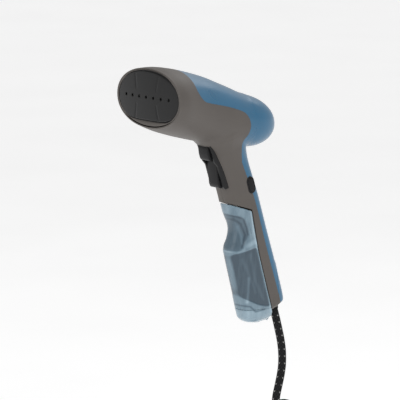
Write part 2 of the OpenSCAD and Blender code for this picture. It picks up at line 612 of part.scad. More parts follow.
// ---- electrics ----
module control_board() color("#1f6b3a") mirror([0, 1, 0]) {
    translate([board_x, board_y, pump_z + 2]) cube([27, 1.6, 26]);
    translate([board_x + 4, board_y + 1.6, pump_z + 6]) cube([9, 7, 10]);
    translate([board_x + 15, board_y + 1.6, pump_z + 12]) cube([10, 5, 12]);
    translate([board_x + 20, board_y + 1.6, pump_z + 5]) rotate([-90, 0, 0])
        cylinder(h = 8, r = 2.5);
}
wire_top = at_grip([-12, 50]);
wire_low = at_grip([cord_axis_d - 1, -20]);
wire_end = at_grip([cord_axis_d, -(clamp_s - 6)]);
module wiring() color("#2d2d2d") sweep(rounded([[wire_end[0], 0, wire_end[1]],
    [wire_low[0], 0, wire_low[1]], [wire_top[0], 0, wire_top[1]],
    [9, 14, barrel_bottom + 8], [coil_x1 + 5, 20, pump_z - 14],
    [board_x - 0.2, -board_y - 4, pump_z + 6]]), 2, 8, [0, 1, 0]);
module cord_clamp() color("#3a3a3a") on_grip() difference() {
    translate([cord_axis_d - 7, -9, -clamp_s - 7]) cube([14, 18, 7]);
    translate([cord_axis_d, 0, -clamp_s - 10]) cylinder(h = 12, r = cord_d / 2 + 0.3);
}
module strain_relief() color("#1c1c1c") on_grip() translate([cord_axis_d, 0, -spine_len])
    difference() {
        rotate_extrude() polygon([[0, 18], [relief_r + 1, 18], [relief_r + 1, 8],
            [relief_r, 7], [relief_r, -1], [cord_d / 2 + 0.8, -relief_out], [0, -relief_out]]);
        translate([0, 0, -20]) cylinder(h = 50, r = cord_d / 2 + 0.3);
    }
module housing_screws() color("#c9c9c9") boss_lines() {
    translate([0, 0, -11]) cylinder(h = 11 - screw_head_y, r = screw_r);
    translate([0, 0, -screw_head_y]) cylinder(h = 2, r = 2 * screw_r);
}

// ---- tank ----
module water_tank() color("#86a3b5", 0.5) difference() {
    tank_solid(tank_gap / 2);
    tank_solid(tank_wall + tank_gap / 2);
    translate([-200, -100, -300]) cube([400, 200, 300 + base_z]);
    translate([neck_x, 0, neck_foot + 0.5]) cylinder(h = 60, r = neck_r + 0.1);
}
module tank_base() color("#9fb9c9", 0.5) difference() {
    tank_solid(tank_gap / 2);
    tank_solid(tank_wall + tank_gap / 2);
    translate([-200, -100, base_z]) cube([400, 200, 300]);
    on_grip() translate([plug_d, 0, -tank_len - 10]) {
        cylinder(h = 30, r = plug_r + 0.3);
        cylinder(h = 16.5, r = plug_r + 2.8);
    }
}
module valve_housing() color("#dfe6ea") difference() {
    translate([neck_x, 0, neck_foot]) cylinder(h = neck_top - neck_foot, r = neck_r);
    translate([neck_x, 0, neck_foot + 2]) cylinder(h = neck_top - neck_foot - 6, r = 5);
    translate([neck_x, 0, -20]) cylinder(h = 60, r = 2.4);
    translate([neck_x, 0, 3]) rotate_extrude() translate([neck_r - 0.9, -0.9])
        square([2, 1.8]);
}
module neck_seal() color("#20242a") translate([neck_x, 0, 3]) rotate_extrude()
    translate([neck_r - 0.05, 0]) circle(0.75);
module valve_stem() color("#d9534a") {
    translate([neck_x, 0, -10]) cylinder(h = neck_top + 10.2, r = 2.1);
    translate([neck_x, 0, neck_top - 5.6]) cylinder(h = 1.4, r = 4.4);
}
module valve_spring() color("#b5b5b5") translate([neck_x, 0, neck_foot + 2.1])
    coil_spring(neck_top - neck_foot - 7.8, 3.6, 0.6, 5);
module pickup_tube() color("#d7e2e8") sweep(rounded([[neck_x, 0, neck_foot - 0.1], [neck_x, 0, -24],
    [neck_x - 2, 0, -40], pickup_foot]), 2.2, 12, [0, 1, 0]);
module pickup_filter() color("#e6e2d6") translate(pickup_foot + [0, 0, -8])
    cylinder(h = 9, r = 4);
module filler_plug() color("#33526b") on_grip() translate([plug_d, 0, -tank_len + 5.2]) {
    cylinder(h = 1.2, r = plug_r + 2.5);
    cylinder(h = 6, r = plug_r);
}

// ---- cord ----
module power_cord() color("#222222") sweep(cord_route, cord_d / 2, 12, [0, 1, 0]);
// Half of the hank's outline, from its top round the left side to its bottom
hank_side = concat(
    [for (i = [0 : 12]) let (a = 90 - 7.5 * i) [hank_r * cos(a), run_len / 2 + hank_r * sin(a)]],
    [for (i = [1 : 15]) let (u = i / 16)
        [lerp(hank_r, waist_r, pow(sin(180 * u), 2)), run_len * (0.5 - u)]],
    [for (i = [0 : 12]) let (a = -7.5 * i) [hank_r * cos(a), -run_len / 2 + hank_r * sin(a)]]);
module hank_outline() polygon(concat(hank_side,
    [for (i = [len(hank_side) - 2 : -1 : 1]) [-hank_side[i][0], hank_side[i][1]]]));
module cord_hank() color("#222222") translate([cord_x - hank_depth / 2, 0, hank_mid])
    rotate([90, 0, 90]) linear_extrude(hank_depth) hank_outline();
module cord_tie() color("#3b3b3b") translate([cord_x, 0, hank_mid - 9])
    linear_extrude(18) difference() {
        square([hank_depth + 4, 2 * waist_r + 6], center = true);
        square([hank_depth + 0.4, 2 * waist_r + 3], center = true);
    }
module cord_tail() color("#222222") translate([tail_x, 0, plug_top])
    cylinder(h = tail_len, d = cord_d);
module plug_body() color("#1f1f1f") translate([tail_x, 0, plug_top - 38]) {
    linear_extrude(26) square([17, 28], center = true);
    translate([0, 0, 26]) cylinder(h = 12, r = 7);
}
module plug_blades() color("#c9b27a") for (s = [-1, 1])
    translate([tail_x - 3.2, s * 6.35 - 0.75, plug_top - 38 - 17]) cube([6.4, 1.5, 17]);

left_housing();
right_housing();
top_cover();
front_bezel();
face_gasket();
face_plate();
diffuser_plate();
boiler_block();
heating_element();
boiler_gasket();
boiler_lid();
boiler_screws();
heat_shield();
thermostat();
thermal_fuse();
pump_body();
pump_coil();
pump_bracket();
pump_bobbin_cheek();
pump_plunger();
pump_spring();
pump_mounts();
inlet_tube();
outlet_tube();
tank_coupling();
trigger_surround();
steam_trigger();
boost_trigger();
steam_trigger_pin();
boost_trigger_pin();
steam_trigger_spring();
boost_trigger_spring();
micro_switches();
steam_plunger();
boost_plunger();
button_bezel();
power_button();
button_spring();
power_switch();
control_board();
wiring();
cord_clamp();
strain_relief();
housing_screws();
water_tank();
tank_base();
valve_housing();
neck_seal();
valve_stem();
valve_spring();
pickup_tube();
pickup_filter();
filler_plug();
power_cord();
cord_hank();
cord_tie();
cord_tail();
plug_body();
plug_blades();
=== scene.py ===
import json
import math
import bpy
import numpy as np
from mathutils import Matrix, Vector


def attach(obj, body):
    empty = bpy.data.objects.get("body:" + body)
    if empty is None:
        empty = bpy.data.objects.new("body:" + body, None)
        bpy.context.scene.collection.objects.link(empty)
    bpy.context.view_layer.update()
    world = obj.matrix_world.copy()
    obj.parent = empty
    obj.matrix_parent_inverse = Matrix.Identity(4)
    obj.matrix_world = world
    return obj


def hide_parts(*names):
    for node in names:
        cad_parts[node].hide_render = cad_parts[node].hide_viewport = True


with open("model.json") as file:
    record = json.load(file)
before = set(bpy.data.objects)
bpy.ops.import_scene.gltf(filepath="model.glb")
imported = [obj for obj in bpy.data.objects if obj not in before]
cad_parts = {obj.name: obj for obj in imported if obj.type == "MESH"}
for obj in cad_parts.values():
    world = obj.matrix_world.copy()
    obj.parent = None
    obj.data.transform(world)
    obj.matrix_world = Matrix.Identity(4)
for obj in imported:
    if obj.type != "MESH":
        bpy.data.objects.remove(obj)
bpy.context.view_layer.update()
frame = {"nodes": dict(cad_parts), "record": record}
scene = bpy.context.scene
mm = 0.001

# The camera comes first.
shot = {"azimuth": 40.0, "elevation": 10.0, "distance": 3000.0, "focal": 2610.0, "side": 44.8, "rise": 2.3}


def makeCamera():
    a, e = math.radians(shot["azimuth"]), math.radians(shot["elevation"])
    back = Vector((math.sin(a) * math.cos(e), math.cos(a) * math.cos(e), math.sin(e)))
    right = Vector((-math.cos(a), math.sin(a), 0))
    up = Vector((-math.sin(e) * math.sin(a), -math.sin(e) * math.cos(a), math.cos(e)))
    target = (-shot["side"] * right + shot["rise"] * up) * mm
    data = bpy.data.cameras.new("camera")
    data.sensor_width = 36
    data.lens = shot["focal"] * 36 / 400
    data.clip_start, data.clip_end = 0.1, 20
    cam = bpy.data.objects.new("camera", data)
    scene.collection.objects.link(cam)
    cam.location = target + shot["distance"] * mm * back
    cam.rotation_mode = "QUATERNION"
    cam.rotation_quaternion = (-back).to_track_quat("-Z", "Y")
    scene.camera = cam


makeCamera()

# ---- curves and meshes from numbers, in millimetres ----


def catmull(rows, steps):
    p = np.array(rows, float)
    q = np.vstack([p[:1], p, p[-1:]])
    out = []
    for i in range(len(p) - 1):
        a, b, c, d = q[i : i + 4]
        for k in range(steps):
            t = k / steps
            out.append(0.5 * (2 * b + (c - a) * t + (2 * a - 5 * b + 4 * c - d) * t * t
                              + (3 * b - a - 3 * c + d) * t ** 3))
    out.append(p[-1])
    return np.array(out)


def spread(path, gap):
    path = np.array(path, float)
    keep = np.concatenate([[True], np.linalg.norm(np.diff(path, axis=0), axis=1) > 1e-6])
    path = path[keep]
    run = np.concatenate([[0], np.cumsum(np.linalg.norm(np.diff(path, axis=0), axis=1))])
    n = max(2, int(round(run[-1] / gap)) + 1)
    at = np.linspace(0, run[-1], n)
    return np.stack([np.interp(at, run, path[:, k]) for k in range(3)], 1)


def newObject(name, verts, faces, uvs=None, sharp=40, material=None):
    mesh = bpy.data.meshes.new(name)
    mesh.from_pydata([tuple(v) for v in np.array(verts, float) * mm], [], [list(map(int, f)) for f in faces])
    if uvs is not None:
        layer = mesh.uv_layers.new(name="UVMap")
        flat = np.array([uvs[f][k] for f in range(len(faces)) for k in range(len(faces[f]))], np.float32)
        layer.data.foreach_set("uv", flat.ravel())
    mesh.validate()
    obj = bpy.data.objects.new(name, mesh)
    scene.collection.objects.link(obj)
    finishMesh(obj, sharp)
    if material:
        mesh.materials.append(material)
    return obj


def finishMesh(obj, sharp):
    mesh = obj.data
    mesh.update()
    mesh.shade_smooth()
    if sharp < 180:
        mesh.set_sharp_from_angle(angle=math.radians(sharp))


def tubeData(path, radii, sides, up=(0, 1, 0), vAround=1.0, uScale=1.0):
    path = np.array(path, float)
    m = len(path)
    t = np.gradient(path, axis=0)
    t /= np.linalg.norm(t, axis=1)[:, None]
    u = np.cross(t[0], up)
    u /= np.linalg.norm(u)
    frames = []
    for i in range(m):
        u = u - t[i] * np.dot(u, t[i])
        u /= np.linalg.norm(u)
        frames.append((u, np.cross(t[i], u)))
    ang = np.arange(sides) * 2 * math.pi / sides
    r = np.broadcast_to(np.array(radii, float), (m,))
    verts = np.concatenate([path[i] + r[i] * (np.cos(ang)[:, None] * frames[i][0]
                            + np.sin(ang)[:, None] * frames[i][1]) for i in range(m)])
    run = np.concatenate([[0], np.cumsum(np.linalg.norm(np.diff(path, axis=0), axis=1))]) * uScale
    faces, uvs = [], []
    for i in range(m - 1):
        for k in range(sides):
            j = (k + 1) % sides
            faces.append((i * sides + k, i * sides + j, (i + 1) * sides + j, (i + 1) * sides + k))
            a, b = k / sides * vAround, (k + 1) / sides * vAround
            uvs.append(((run[i], a), (run[i], b), (run[i + 1], b), (run[i + 1], a)))
    faces.append(tuple(range(sides))[::-1])
    uvs.append([(0, 0)] * sides)
    faces.append(tuple((m - 1) * sides + k for k in range(sides)))
    uvs.append([(run[-1], 0)] * sides)
    return verts, faces, uvs


def ringsMesh(name, rings, sharp=40, material=None):
    n = len(rings[0])
    m = len(rings)
    verts = np.concatenate(rings)
    faces = [(i * n + k, i * n + (k + 1) % n, (i + 1) * n + (k + 1) % n, (i + 1) * n + k)
             for i in range(m - 1) for k in range(n)]
    faces += [tuple(range(n))[::-1], tuple((m - 1) * n + k for k in range(n))]
    obj = newObject(name, verts, faces, sharp=sharp, material=material)
    turnOut(obj)
    return obj


def turnOut(obj):
    import bmesh
    bm = bmesh.new()
    bm.from_mesh(obj.data)
    bmesh.ops.recalc_face_normals(bm, faces=bm.faces[:])
    if bm.calc_volume(signed=True) < 0:
        bmesh.ops.reverse_faces(bm, faces=bm.faces[:])
    bm.to_mesh(obj.data)
    bm.free()
    obj.data.update()


def prism(name, outline, along, low, high):
    """Straight solid with that outline; along is y or x, outline is XZ or YZ."""
    pts = np.array(outline, float)
    place = (lambda p, h: (p[0], h, p[1])) if along == "y" else (lambda p, h: (h, p[0], p[1]))
    n = len(pts)
    verts = [place(p, low) for p in pts] + [place(p, high) for p in pts]
    faces = [tuple(range(n)), tuple(range(n, 2 * n))[::-1]]
    faces += [(k, (k + 1) % n, n + (k + 1) % n, n + k) for k in range(n)]
    obj = newObject(name, verts, faces, sharp=180)
    turnOut(obj)
    return obj


def shape(target, others, how="DIFFERENCE", solver="MANIFOLD"):
    """Cuts target with each of others, which are used up."""
    for other in others if isinstance(others, (list, tuple)) else [others]:
        mod = target.modifiers.new("cut", "BOOLEAN")
        mod.object, mod.operation, mod.solver = other, how, solver
        dg = bpy.context.evaluated_depsgraph_get()
        made = bpy.data.meshes.new_from_object(target.evaluated_get(dg))
        target.modifiers.clear()
        old = target.data
        target.data = made
        bpy.data.meshes.remove(old)
        bpy.data.objects.remove(other)
    return target


def copyOf(obj, name):
    new = bpy.data.objects.new(name, obj.data.copy())
    scene.collection.objects.link(new)
    return new


def drop(*objs):
    for o in objs:
        bpy.data.objects.remove(o)


# ---- the grip's own axes ----
tilt = math.radians(17)
tiltSin, tiltCos = math.sin(tilt), math.cos(tilt)


def gripPoint(s, d, y=0.0):
    return np.array([-s * tiltSin + d * tiltCos, y, -s * tiltCos - d * tiltSin])


def gripXZ(d, z):
    return (d * tiltCos + z * tiltSin, -d * tiltSin + z * tiltCos)


# ---- materials ----


class Net:
    """A material's nodes, with the usual ones a call away."""

    def __init__(self, name):
        self.mat = bpy.data.materials.new(name)
        self.mat.use_nodes = True
        self.tree = self.mat.node_tree
        self.shader = self.tree.nodes["Principled BSDF"]
        self.coord = self.tree.nodes.new("ShaderNodeTexCoord")

    def link(self, a, b):
        self.tree.links.new(a, b)

    def add(self, kind, **sockets):
        node = self.tree.nodes.new(kind)
        for key, value in sockets.items():
            if key in node.inputs:
                target = node.inputs[key]
                if isinstance(value, bpy.types.NodeSocket):
                    self.link(value, target)
                else:
                    target.default_value = value
            else:
                setattr(node, key, value)
        return node

    def noise(self, scale, detail=4.0, rough=0.55, vector=None):
        return self.add("ShaderNodeTexNoise", Vector=vector or self.coord.outputs["Object"],
                        Scale=scale, Detail=detail, Roughness=rough).outputs["Fac"]

    def spread(self, value, low, high, fromLow=0.3, fromHigh=0.7):
        node = self.tree.nodes.new("ShaderNodeMapRange")
        self.link(value, node.inputs["Value"])
        for key, number in (("From Min", fromLow), ("From Max", fromHigh), ("To Min", low), ("To Max", high)):
            node.inputs[key].default_value = number
        return node.outputs["Result"]

    def mixColour(self, fac, a, b, blend="MIX"):
        node = self.tree.nodes.new("ShaderNodeMix")
        node.data_type, node.blend_type = "RGBA", blend
        for key, value in ((0, fac), (6, a), (7, b)):
            if isinstance(value, bpy.types.NodeSocket):
                self.link(value, node.inputs[key])
            else:
                node.inputs[key].default_value = value if key == 0 else (*value[:3], 1)
        return node.outputs[2]

    def maths(self, how, a, b=0.0):
        node = self.tree.nodes.new("ShaderNodeMath")
        node.operation = how
        for key, value in ((0, a), (1, b)):
            if isinstance(value, bpy.types.NodeSocket):
                self.link(value, node.inputs[key])
            else:
                node.inputs[key].default_value = value
        return node.outputs[0]

    def bump(self, height, strength, distance):
        node = self.tree.nodes.new("ShaderNodeBump")
        node.inputs["Strength"].default_value = strength
        node.inputs["Distance"].default_value = distance
        self.link(height, node.inputs["Height"])
        self.link(node.outputs["Normal"], self.shader.inputs["Normal"])
        return node

    def give(self, **values):
        for key, value in values.items():
            name = key.replace("_", " ")
            if isinstance(value, bpy.types.NodeSocket):
                self.link(value, self.shader.inputs[name])
            else:
                self.shader.inputs[name].default_value = value
        return self


def plastic(name, colour, rough=0.45, grain=900.0, depth=0.00004, vary=0.06, **more):
    """Moulded plastic or rubber: fine grain, slight unevenness in tone and sheen."""
    n = Net(name)
    broad = n.noise(22, 3)
    fine = n.noise(grain, 2)
    low = tuple(c * (1 - vary) for c in colour)
    high = tuple(min(1, c * (1 + vary)) for c in colour)
    n.give(Base_Color=n.mixColour(n.spread(broad, 0, 1), low, high),
           Roughness=n.spread(broad, rough - 0.04, rough + 0.05), **more)
    n.bump(fine, 0.35, depth)
    return n.mat


def metal(name, colour, rough=0.3, brush=(1, 1, 1), depth=0.00003, vary=0.08):
    """Metal with brushing along one axis where brush is stretched."""
    n = Net(name)
    scaled = n.add("ShaderNodeMapping", Vector=n.coord.outputs["Object"], Scale=brush).outputs["Vector"]
    streak = n.noise(500, 4, 0.6, scaled)
    broad = n.noise(60, 3)
    low = tuple(c * (1 - vary) for c in colour)
    n.give(Base_Color=n.mixColour(n.spread(broad, 0, 1), low, colour), Metallic=1.0,
           Roughness=n.spread(streak, rough - 0.07, rough + 0.09))
    n.bump(streak, 0.25, depth)
    return n.mat


taupe = plastic("housingPlastic", (0.112, 0.1, 0.091), 0.5, 1100, 0.00003, Specular_IOR_Level=0.3)
blue = plastic("coverPlastic", (0.022, 0.132, 0.25), 0.3, 1300, 0.000015, Coat_Weight=0.12, Coat_Roughness=0.2)
dark = plastic("darkPlastic", (0.0105, 0.0105, 0.011), 0.4, 1500, 0.00003, Specular_IOR_Level=0.28)
darkButton = plastic("buttonPlastic", (0.006, 0.006, 0.007), 0.32, 1500, 0.00002, Specular_IOR_Level=0.25)
plateCoat = plastic("plateCoating", (0.0125, 0.0125, 0.013), 0.34, 700, 0.00003, 0.12, Specular_IOR_Level=0.28)
rubber = plastic("blackRubber", (0.006, 0.006, 0.0065), 0.55, 800, 0.00005, Specular_IOR_Level=0.25)
print("materials ready")

# ---- outer body: one smooth skin from the barrel's and the grip's sections ----
body = {"rimX": 133.0, "headY": 56.0, "headZ": 132.0, "headUp": 33.5, "neckY": 32.0, "top": 127.0,
        "bottom": 65.0, "rear": 47.0, "drop": 7.5, "square": 2.1, "gripSquare": 2.58, "front": 21.5,
        "back": 23.5, "half": 19.0, "spine": 136.0, "wall": 2.6, "lip": 1.4, "cell": 1.35, "inCell": 2.6}
frontShares = [[1, 1, 1, 1], [0.9, 0.97, 1, 0.82], [0.76, 0.73, 0.92, 0.64], [0.61, 0.52, 0.79, 0.48],
               [0.45, 0.36, 0.62, 0.32], [0.30, 0.24, 0.42, 0.16], [0.15, 0.12, 0.225, 0.05], [0, 0, 0, 0]]


def mixed(a, b, t):
    return a + (b - a) * t


neckMid = (body["top"] + body["bottom"]) / 2
neckHalf = (body["top"] - body["bottom"]) / 2
barrelRows = catmull([[body["rimX"] * r[0], mixed(body["neckY"], body["headY"], r[1]),
                       mixed(body["top"], body["headZ"] + body["headUp"], r[2]),
                       mixed(body["bottom"], body["headZ"] - body["headUp"], r[3])] for r in frontShares][::-1], 12)
evenX = np.arange(-60, body["rimX"] + 0.25, 0.5)
bell = np.exp(-np.linspace(-3, 3, 97) ** 2 / 2)
bell /= bell.sum()


def evened(column):
    """A section size along X, eased where the barrel turns into its rear end."""
    plain = np.interp(evenX, barrelRows[:, 0], barrelRows[:, column])
    soft = np.convolve(np.pad(plain, 48, mode="edge"), bell, "valid")
    share = np.exp(-(evenX / 34) ** 4)
    return plain + (soft - plain) * share


barrelHalf, barrelTop, barrelLow = evened(1), evened(2) - 1.3 * np.exp(-(evenX / 30) ** 2), evened(3)
gf, gb, gy, gs = body["front"], body["back"], body["half"], body["spine"]
gripRows = catmull([[-86, gf + 8, -gb - 1, gy + 8], [-70, gf + 5, -gb + 2, gy + 4], [-50, gf + 2, -gb + 3, gy],
                    [-25, gf, -gb + 2, gy], [0, gf, -gb + 0.5, gy], [40, gf, -gb, gy], [80, gf, -gb - 1, gy],
                    [gs - 10, gf, -gb - 1, gy], [gs - 4, gf, -gb + 2, gy - 2], [gs, gf, -gb + 8, gy - 5]], 12)


def barrelValue(x, y, z):
    s = np.clip(-x / body["rear"], 0, 0.99995)
    k = (1 - s * s) ** 0.55
    hy = np.interp(x, evenX, barrelHalf) * k
    top = np.interp(x, evenX, barrelTop)
    low = np.interp(x, evenX, barrelLow)
    mid = (top + low) / 2 - body["drop"] * s
    hz = (top - low) / 2 * k
    n = body["square"]
    past = np.maximum(-x - body["rear"] * 0.9999, 0)
    return (np.abs(y / hy) ** n + np.abs((z - mid) / hz) ** n) ** (1 / n) - 1 + past


def gripValue(x, y, z):
    s = -x * tiltSin - z * tiltCos
    d = x * tiltCos - z * tiltSin
    front = np.interp(s, gripRows[:, 0], gripRows[:, 1])
    back = np.interp(s, gripRows[:, 0], gripRows[:, 2])
    half = np.interp(s, gripRows[:, 0], gripRows[:, 3])
    n = body["gripSquare"]
    return (np.abs((d - (front + back) / 2) / ((front - back) / 2)) ** n + np.abs(y / half) ** n) ** (1 / n) - 1


def distance(value, x, y, z, step=0.05):
    """Rough distance to the zero surface: the value over its slope."""
    g = value(x, y, z)
    gx = value(x + step, y, z) - value(x - step, y, z)
    gyy = value(x, y + step, z) - value(x, y - step, z)
    gz = value(x, y, z + step) - value(x, y, z - step)
    slope = np.sqrt(gx * gx + gyy * gyy + gz * gz) / (2 * step)
    return g / np.maximum(slope, 1e-4)


def softMax(a, b, r):
    h = np.maximum(r - np.abs(a - b), 0) / r
    return np.maximum(a, b) + h * h * r / 4


def bodyField(x, y, z, depth=0.0):
    thin = depth * (1 - (1 - body["lip"] / body["wall"]) * np.clip((x - 122) / 9, 0, 1))
    a = distance(barrelValue, x, y, z) + thin
    b = distance(gripValue, x, y, z) + depth
    s = -x * tiltSin - z * tiltCos
    d = x * tiltCos - z * tiltSin
    b = softMax(b, s - gs + depth, 3.0)
    b = np.maximum(b, -86 - s)
    k = 3.5 + 8.5 * np.clip((d + 6) / 16, 0, 1)
    h = np.maximum(k - np.abs(a - b), 0) / k
    return np.minimum(a, b) - h * h * k / 4


def netsMesh(name, field, low, high, cell, settle=3):
    """Surface nets over a grid of cells, then each point is drawn onto the surface."""
    axes = [np.arange(low[k], high[k] + cell, cell) for k in range(3)]
    gx, gyy, gz = np.meshgrid(*axes, indexing="ij")
    f = field(gx, gyy, gz)
    inside = f < 0
    total = np.zeros(tuple(n - 1 for n in f.shape) + (3,))
    count = np.zeros(tuple(n - 1 for n in f.shape))
    corner = [(i, j, k) for i in (0, 1) for j in (0, 1) for k in (0, 1)]

    def part(arr, c):
        return arr[tuple(slice(c[q], arr.shape[q] - 1 + c[q]) for q in range(3))]

    for a in corner:
        for q in range(3):
            if a[q]:
                continue
            b = tuple(1 if w == q else a[w] for w in range(3))
            fa, fb = part(f, a), part(f, b)
            cross = (fa < 0) != (fb < 0)
            t = np.where(cross, fa / np.where(cross, fa - fb, 1), 0)
            for w in range(3):
                total[..., w] += np.where(cross, a[w] + (t if w == q else 0), 0)
            count += cross
    used = count > 0
    ident = -np.ones(used.shape, int)
    ident[used] = np.arange(used.sum())
    base = np.stack(np.nonzero(used), 1)
    pts = (base + total[used] / count[used][:, None]) * cell + np.array([a[0] for a in axes])
    faces = []
    for q in range(3):
        u, v = (q + 1) % 3, (q + 2) % 3
        lo = [slice(1, n - 1) for n in f.shape]
        hi = list(lo)
        lo[q], hi[q] = slice(0, f.shape[q] - 1), slice(1, f.shape[q])
        fa, fb = inside[tuple(lo)], inside[tuple(hi)]
        where = np.stack(np.nonzero(fa != fb), 1)
        out = fa[fa != fb]
        first = where + np.array([0 if w == q else 1 for w in range(3)])
        ids = []
        for du, dv in ((-1, -1), (0, -1), (0, 0), (-1, 0)):
            at = first.copy()
            at[:, u] += du
            at[:, v] += dv
            ids.append(ident[at[:, 0], at[:, 1], at[:, 2]])
        quad = np.stack(ids, 1)
        quad[~out] = quad[~out][:, ::-1]
        faces.append(quad)
    faces = np.concatenate(faces)
    for _ in range(settle):
        x, y, z = pts.T
        g = field(x, y, z)
        e = 0.08
        grad = np.stack([field(x + e, y, z) - field(x - e, y, z), field(x, y + e, z) - field(x, y - e, z),
                         field(x, y, z + e) - field(x, y, z - e)], 1) / (2 * e)
        size = np.maximum((grad ** 2).sum(1), 0.05)
        pts = pts - np.clip(g / size, -cell / 2, cell / 2)[:, None] * grad
    obj = newObject(name, pts, faces, sharp=180)
    turnOut(obj)
    return obj


reach = ((-70, -59.5, -143), (141.5, 59.5, 170))
outer = netsMesh("outer", lambda x, y, z: np.maximum(bodyField(x, y, z), x - 135.5), *reach, body["cell"])
inner = netsMesh("inner", lambda x, y, z: np.maximum(bodyField(x, y, z, body["wall"]), x - 138.5), *reach,
                 body["inCell"], 2)
print("body skin", len(outer.data.polygons), len(inner.data.polygons))

# ---- cutting the skin into shells and cover ----
fit = {"gap": 0.5, "seamGap": 0.28, "halfGap": 0.12, "tankGap": 0.5, "trigger": 17.0, "cheek": 12.0,
       "buttonD": -8.5, "buttonZ": 20.5, "buttonLen": 17.0, "buttonW": 8.0, "bezelRim": 1.6,
       "buttonFace": 19.8, "reliefD": -13.0, "reliefR": 6.2, "neckX": 8.0, "neckR": 7.5}
seamCurve = catmull([[99, 200], [99, 148], [98, 140], [94, 133], [87, 128], [78, 125.5], [50, 119], [27, 112],
                     [18, 107], [13, 100], [11, 92], [12, 84], [15, 76], [15, 66], [12, 50]], 8)
seamTail = [gripPoint(0, -9)[[0, 2]], gripPoint(60, -9.5)[[0, 2]], gripPoint(160, -12)[[0, 2]]]
seamPath = np.vstack([seamCurve, catmull([seamCurve[-1]] + seamTail, 10)[1:]])


def offsetPath(path, by):
    t = np.gradient(path, axis=0)
    t /= np.linalg.norm(t, axis=1)[:, None]
    return path + by * np.stack([-t[:, 1], t[:, 0]], 1)


def coverPrism(name, by):
    path = offsetPath(seamPath, by)
    return prism(name, np.vstack([path, [[-150, -170], [-150, 200]]]), "y", -90, 90)


def tankPrism(name, g):
    a, b = gripPoint(60, 2.98), gripPoint(180, 3.94)
    return prism(name, [[60, 15 + g], [24, 2 + g], [-3.5 - g, -7.2 + g], [a[0] - g, a[2]], [b[0] - g, b[2]],
                        [120, -180]], "y", -90, 90)


def gripPrism(name, outline, half):
    return prism(name, [gripXZ(*p) for p in outline], "y", -half, half)


def roundAlong(name, start, end, radius, sides=48):
    p = spread([start, end], 200)
    v, f, _ = tubeData(p, radius, sides, up=(0.31, 0.9, 0.2))
    obj = newObject(name, v, f, sharp=40)
    turnOut(obj)
    return obj


def stadium(length, width, arc=16):
    out = []
    for s in (1, -1):
        for k in range(arc + 1):
            a = math.pi * k / arc + (0 if s > 0 else math.pi)
            out.append((width / 2 * math.cos(a), s * (length - width) / 2 + width / 2 * math.sin(a)))
    return out


def buttonPrism(name, length, width, low, high):
    """Stadium standing along the grip, from low to high in Y."""
    pts = [gripXZ(fit["buttonD"] + p[0], fit["buttonZ"] + p[1]) for p in stadium(length, width)]
    return prism(name, pts, "y", low, high)


surroundSide = [[10, 31], [17, 27.5], [23, 27], [25.5, 31], [26, 57], [29, 63], [30.5, 86.5], [10, 86.5]]

shape(inner, tankPrism("c1", fit["tankGap"] + body["wall"]))
cuts = [inner, prism("c2", [[body["rimX"], 80], [160, 80], [160, 190], [body["rimX"], 190]], "y", -80, 80),
        tankPrism("c3", fit["tankGap"]),
        gripPrism("c4", surroundSide, fit["cheek"] + 0.2),
        buttonPrism("c5", fit["buttonLen"] + 3.6, fit["buttonW"] + 3.6, 0, 40),
        roundAlong("c6", gripPoint(146, fit["reliefD"]), gripPoint(116, fit["reliefD"]), fit["reliefR"] + 0.3),
        roundAlong("c7", (fit["neckX"], 0, -30), (fit["neckX"], 0, 30), fit["neckR"] + 2.9)]
shape(outer, cuts)
shells = copyOf(outer, "shells")
shape(shells, coverPrism("c8", -fit["seamGap"]))
shape(outer, coverPrism("c9", 0), "INTERSECT")
cover = outer
cover.name = "topCover"
leftShell = copyOf(shells, "leftShell")
rightShell = shells
rightShell.name = "rightShell"
g = fit["halfGap"]
shape(leftShell, prism("c10", [[-200, -300], [200, -300], [200, 300], [-200, 300]], "y", -200, g))
shape(rightShell, prism("c11", [[-200, -300], [200, -300], [200, 300], [-200, 300]], "y", -g, 200))
for obj, mat, node, slot in ((cover, blue, "top_cover", "cover_plastic"),
                             (leftShell, taupe, "left_housing", "housing_plastic"),
                             (rightShell, taupe, "right_housing", "housing_plastic")):
    obj.data.materials.clear()
    obj.data.materials.append(mat)
    finishMesh(obj, 38)
    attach(obj, "housing")
    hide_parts(node)
    print(obj.name, len(obj.data.polygons), [round(v, 1) for v in (np.array(obj.bound_box).min(0) * 1000)],
          [round(v, 1) for v in (np.array(obj.bound_box).max(0) * 1000)])
print("housing cut")

# ---- steam head: rim ring, gasket and the pierced plate ----
head = {"plateW": 105.0, "up": 29.9, "down": 24.4, "round": 30.0, "z": 132.0, "front": 137.0, "dome": 4.0, "skin": 2.4,
        "gasket": 1.2, "holes": 7, "pitch": 12.4, "holeD": 3.2, "holeZ": 133.5, "edge": 1.6,
        "crease": 0.5, "creaseAt": 17.0}
domeR = ((head["plateW"] / 2) ** 2 + head["dome"] ** 2) / (2 * head["dome"])


def spow(v, e):
    return np.sign(v) * np.abs(v) ** e


def headOutline(grow, count=192):
    a = (np.arange(count) + 0.5) * 2 * math.pi / count
    e = 2 / 2.1
    y = (head["plateW"] / 2 + grow) * spow(np.cos(a), e)
    up = (head["up"] + grow) * spow(np.sin(a), e)
    low = -(head["round"] + grow) * spow(np.sin(a), e)
    flat = head["down"] + grow
    h = np.maximum(6 - np.abs(low - flat), 0) / 6
    low = np.minimum(low, flat) - h * h * 1.5
    return np.stack([y, head["z"] + np.where(np.sin(a) >= 0, up, -np.maximum(low, 0.02))], 1)


def rimOutline(inset, count=192):
    a = (np.arange(count) + 0.5) * 2 * math.pi / count
    return np.stack([(56 - inset) * spow(np.cos(a), 2 / 2.1), head["z"] + (33.5 - inset) * spow(np.sin(a), 2 / 2.1)], 1)


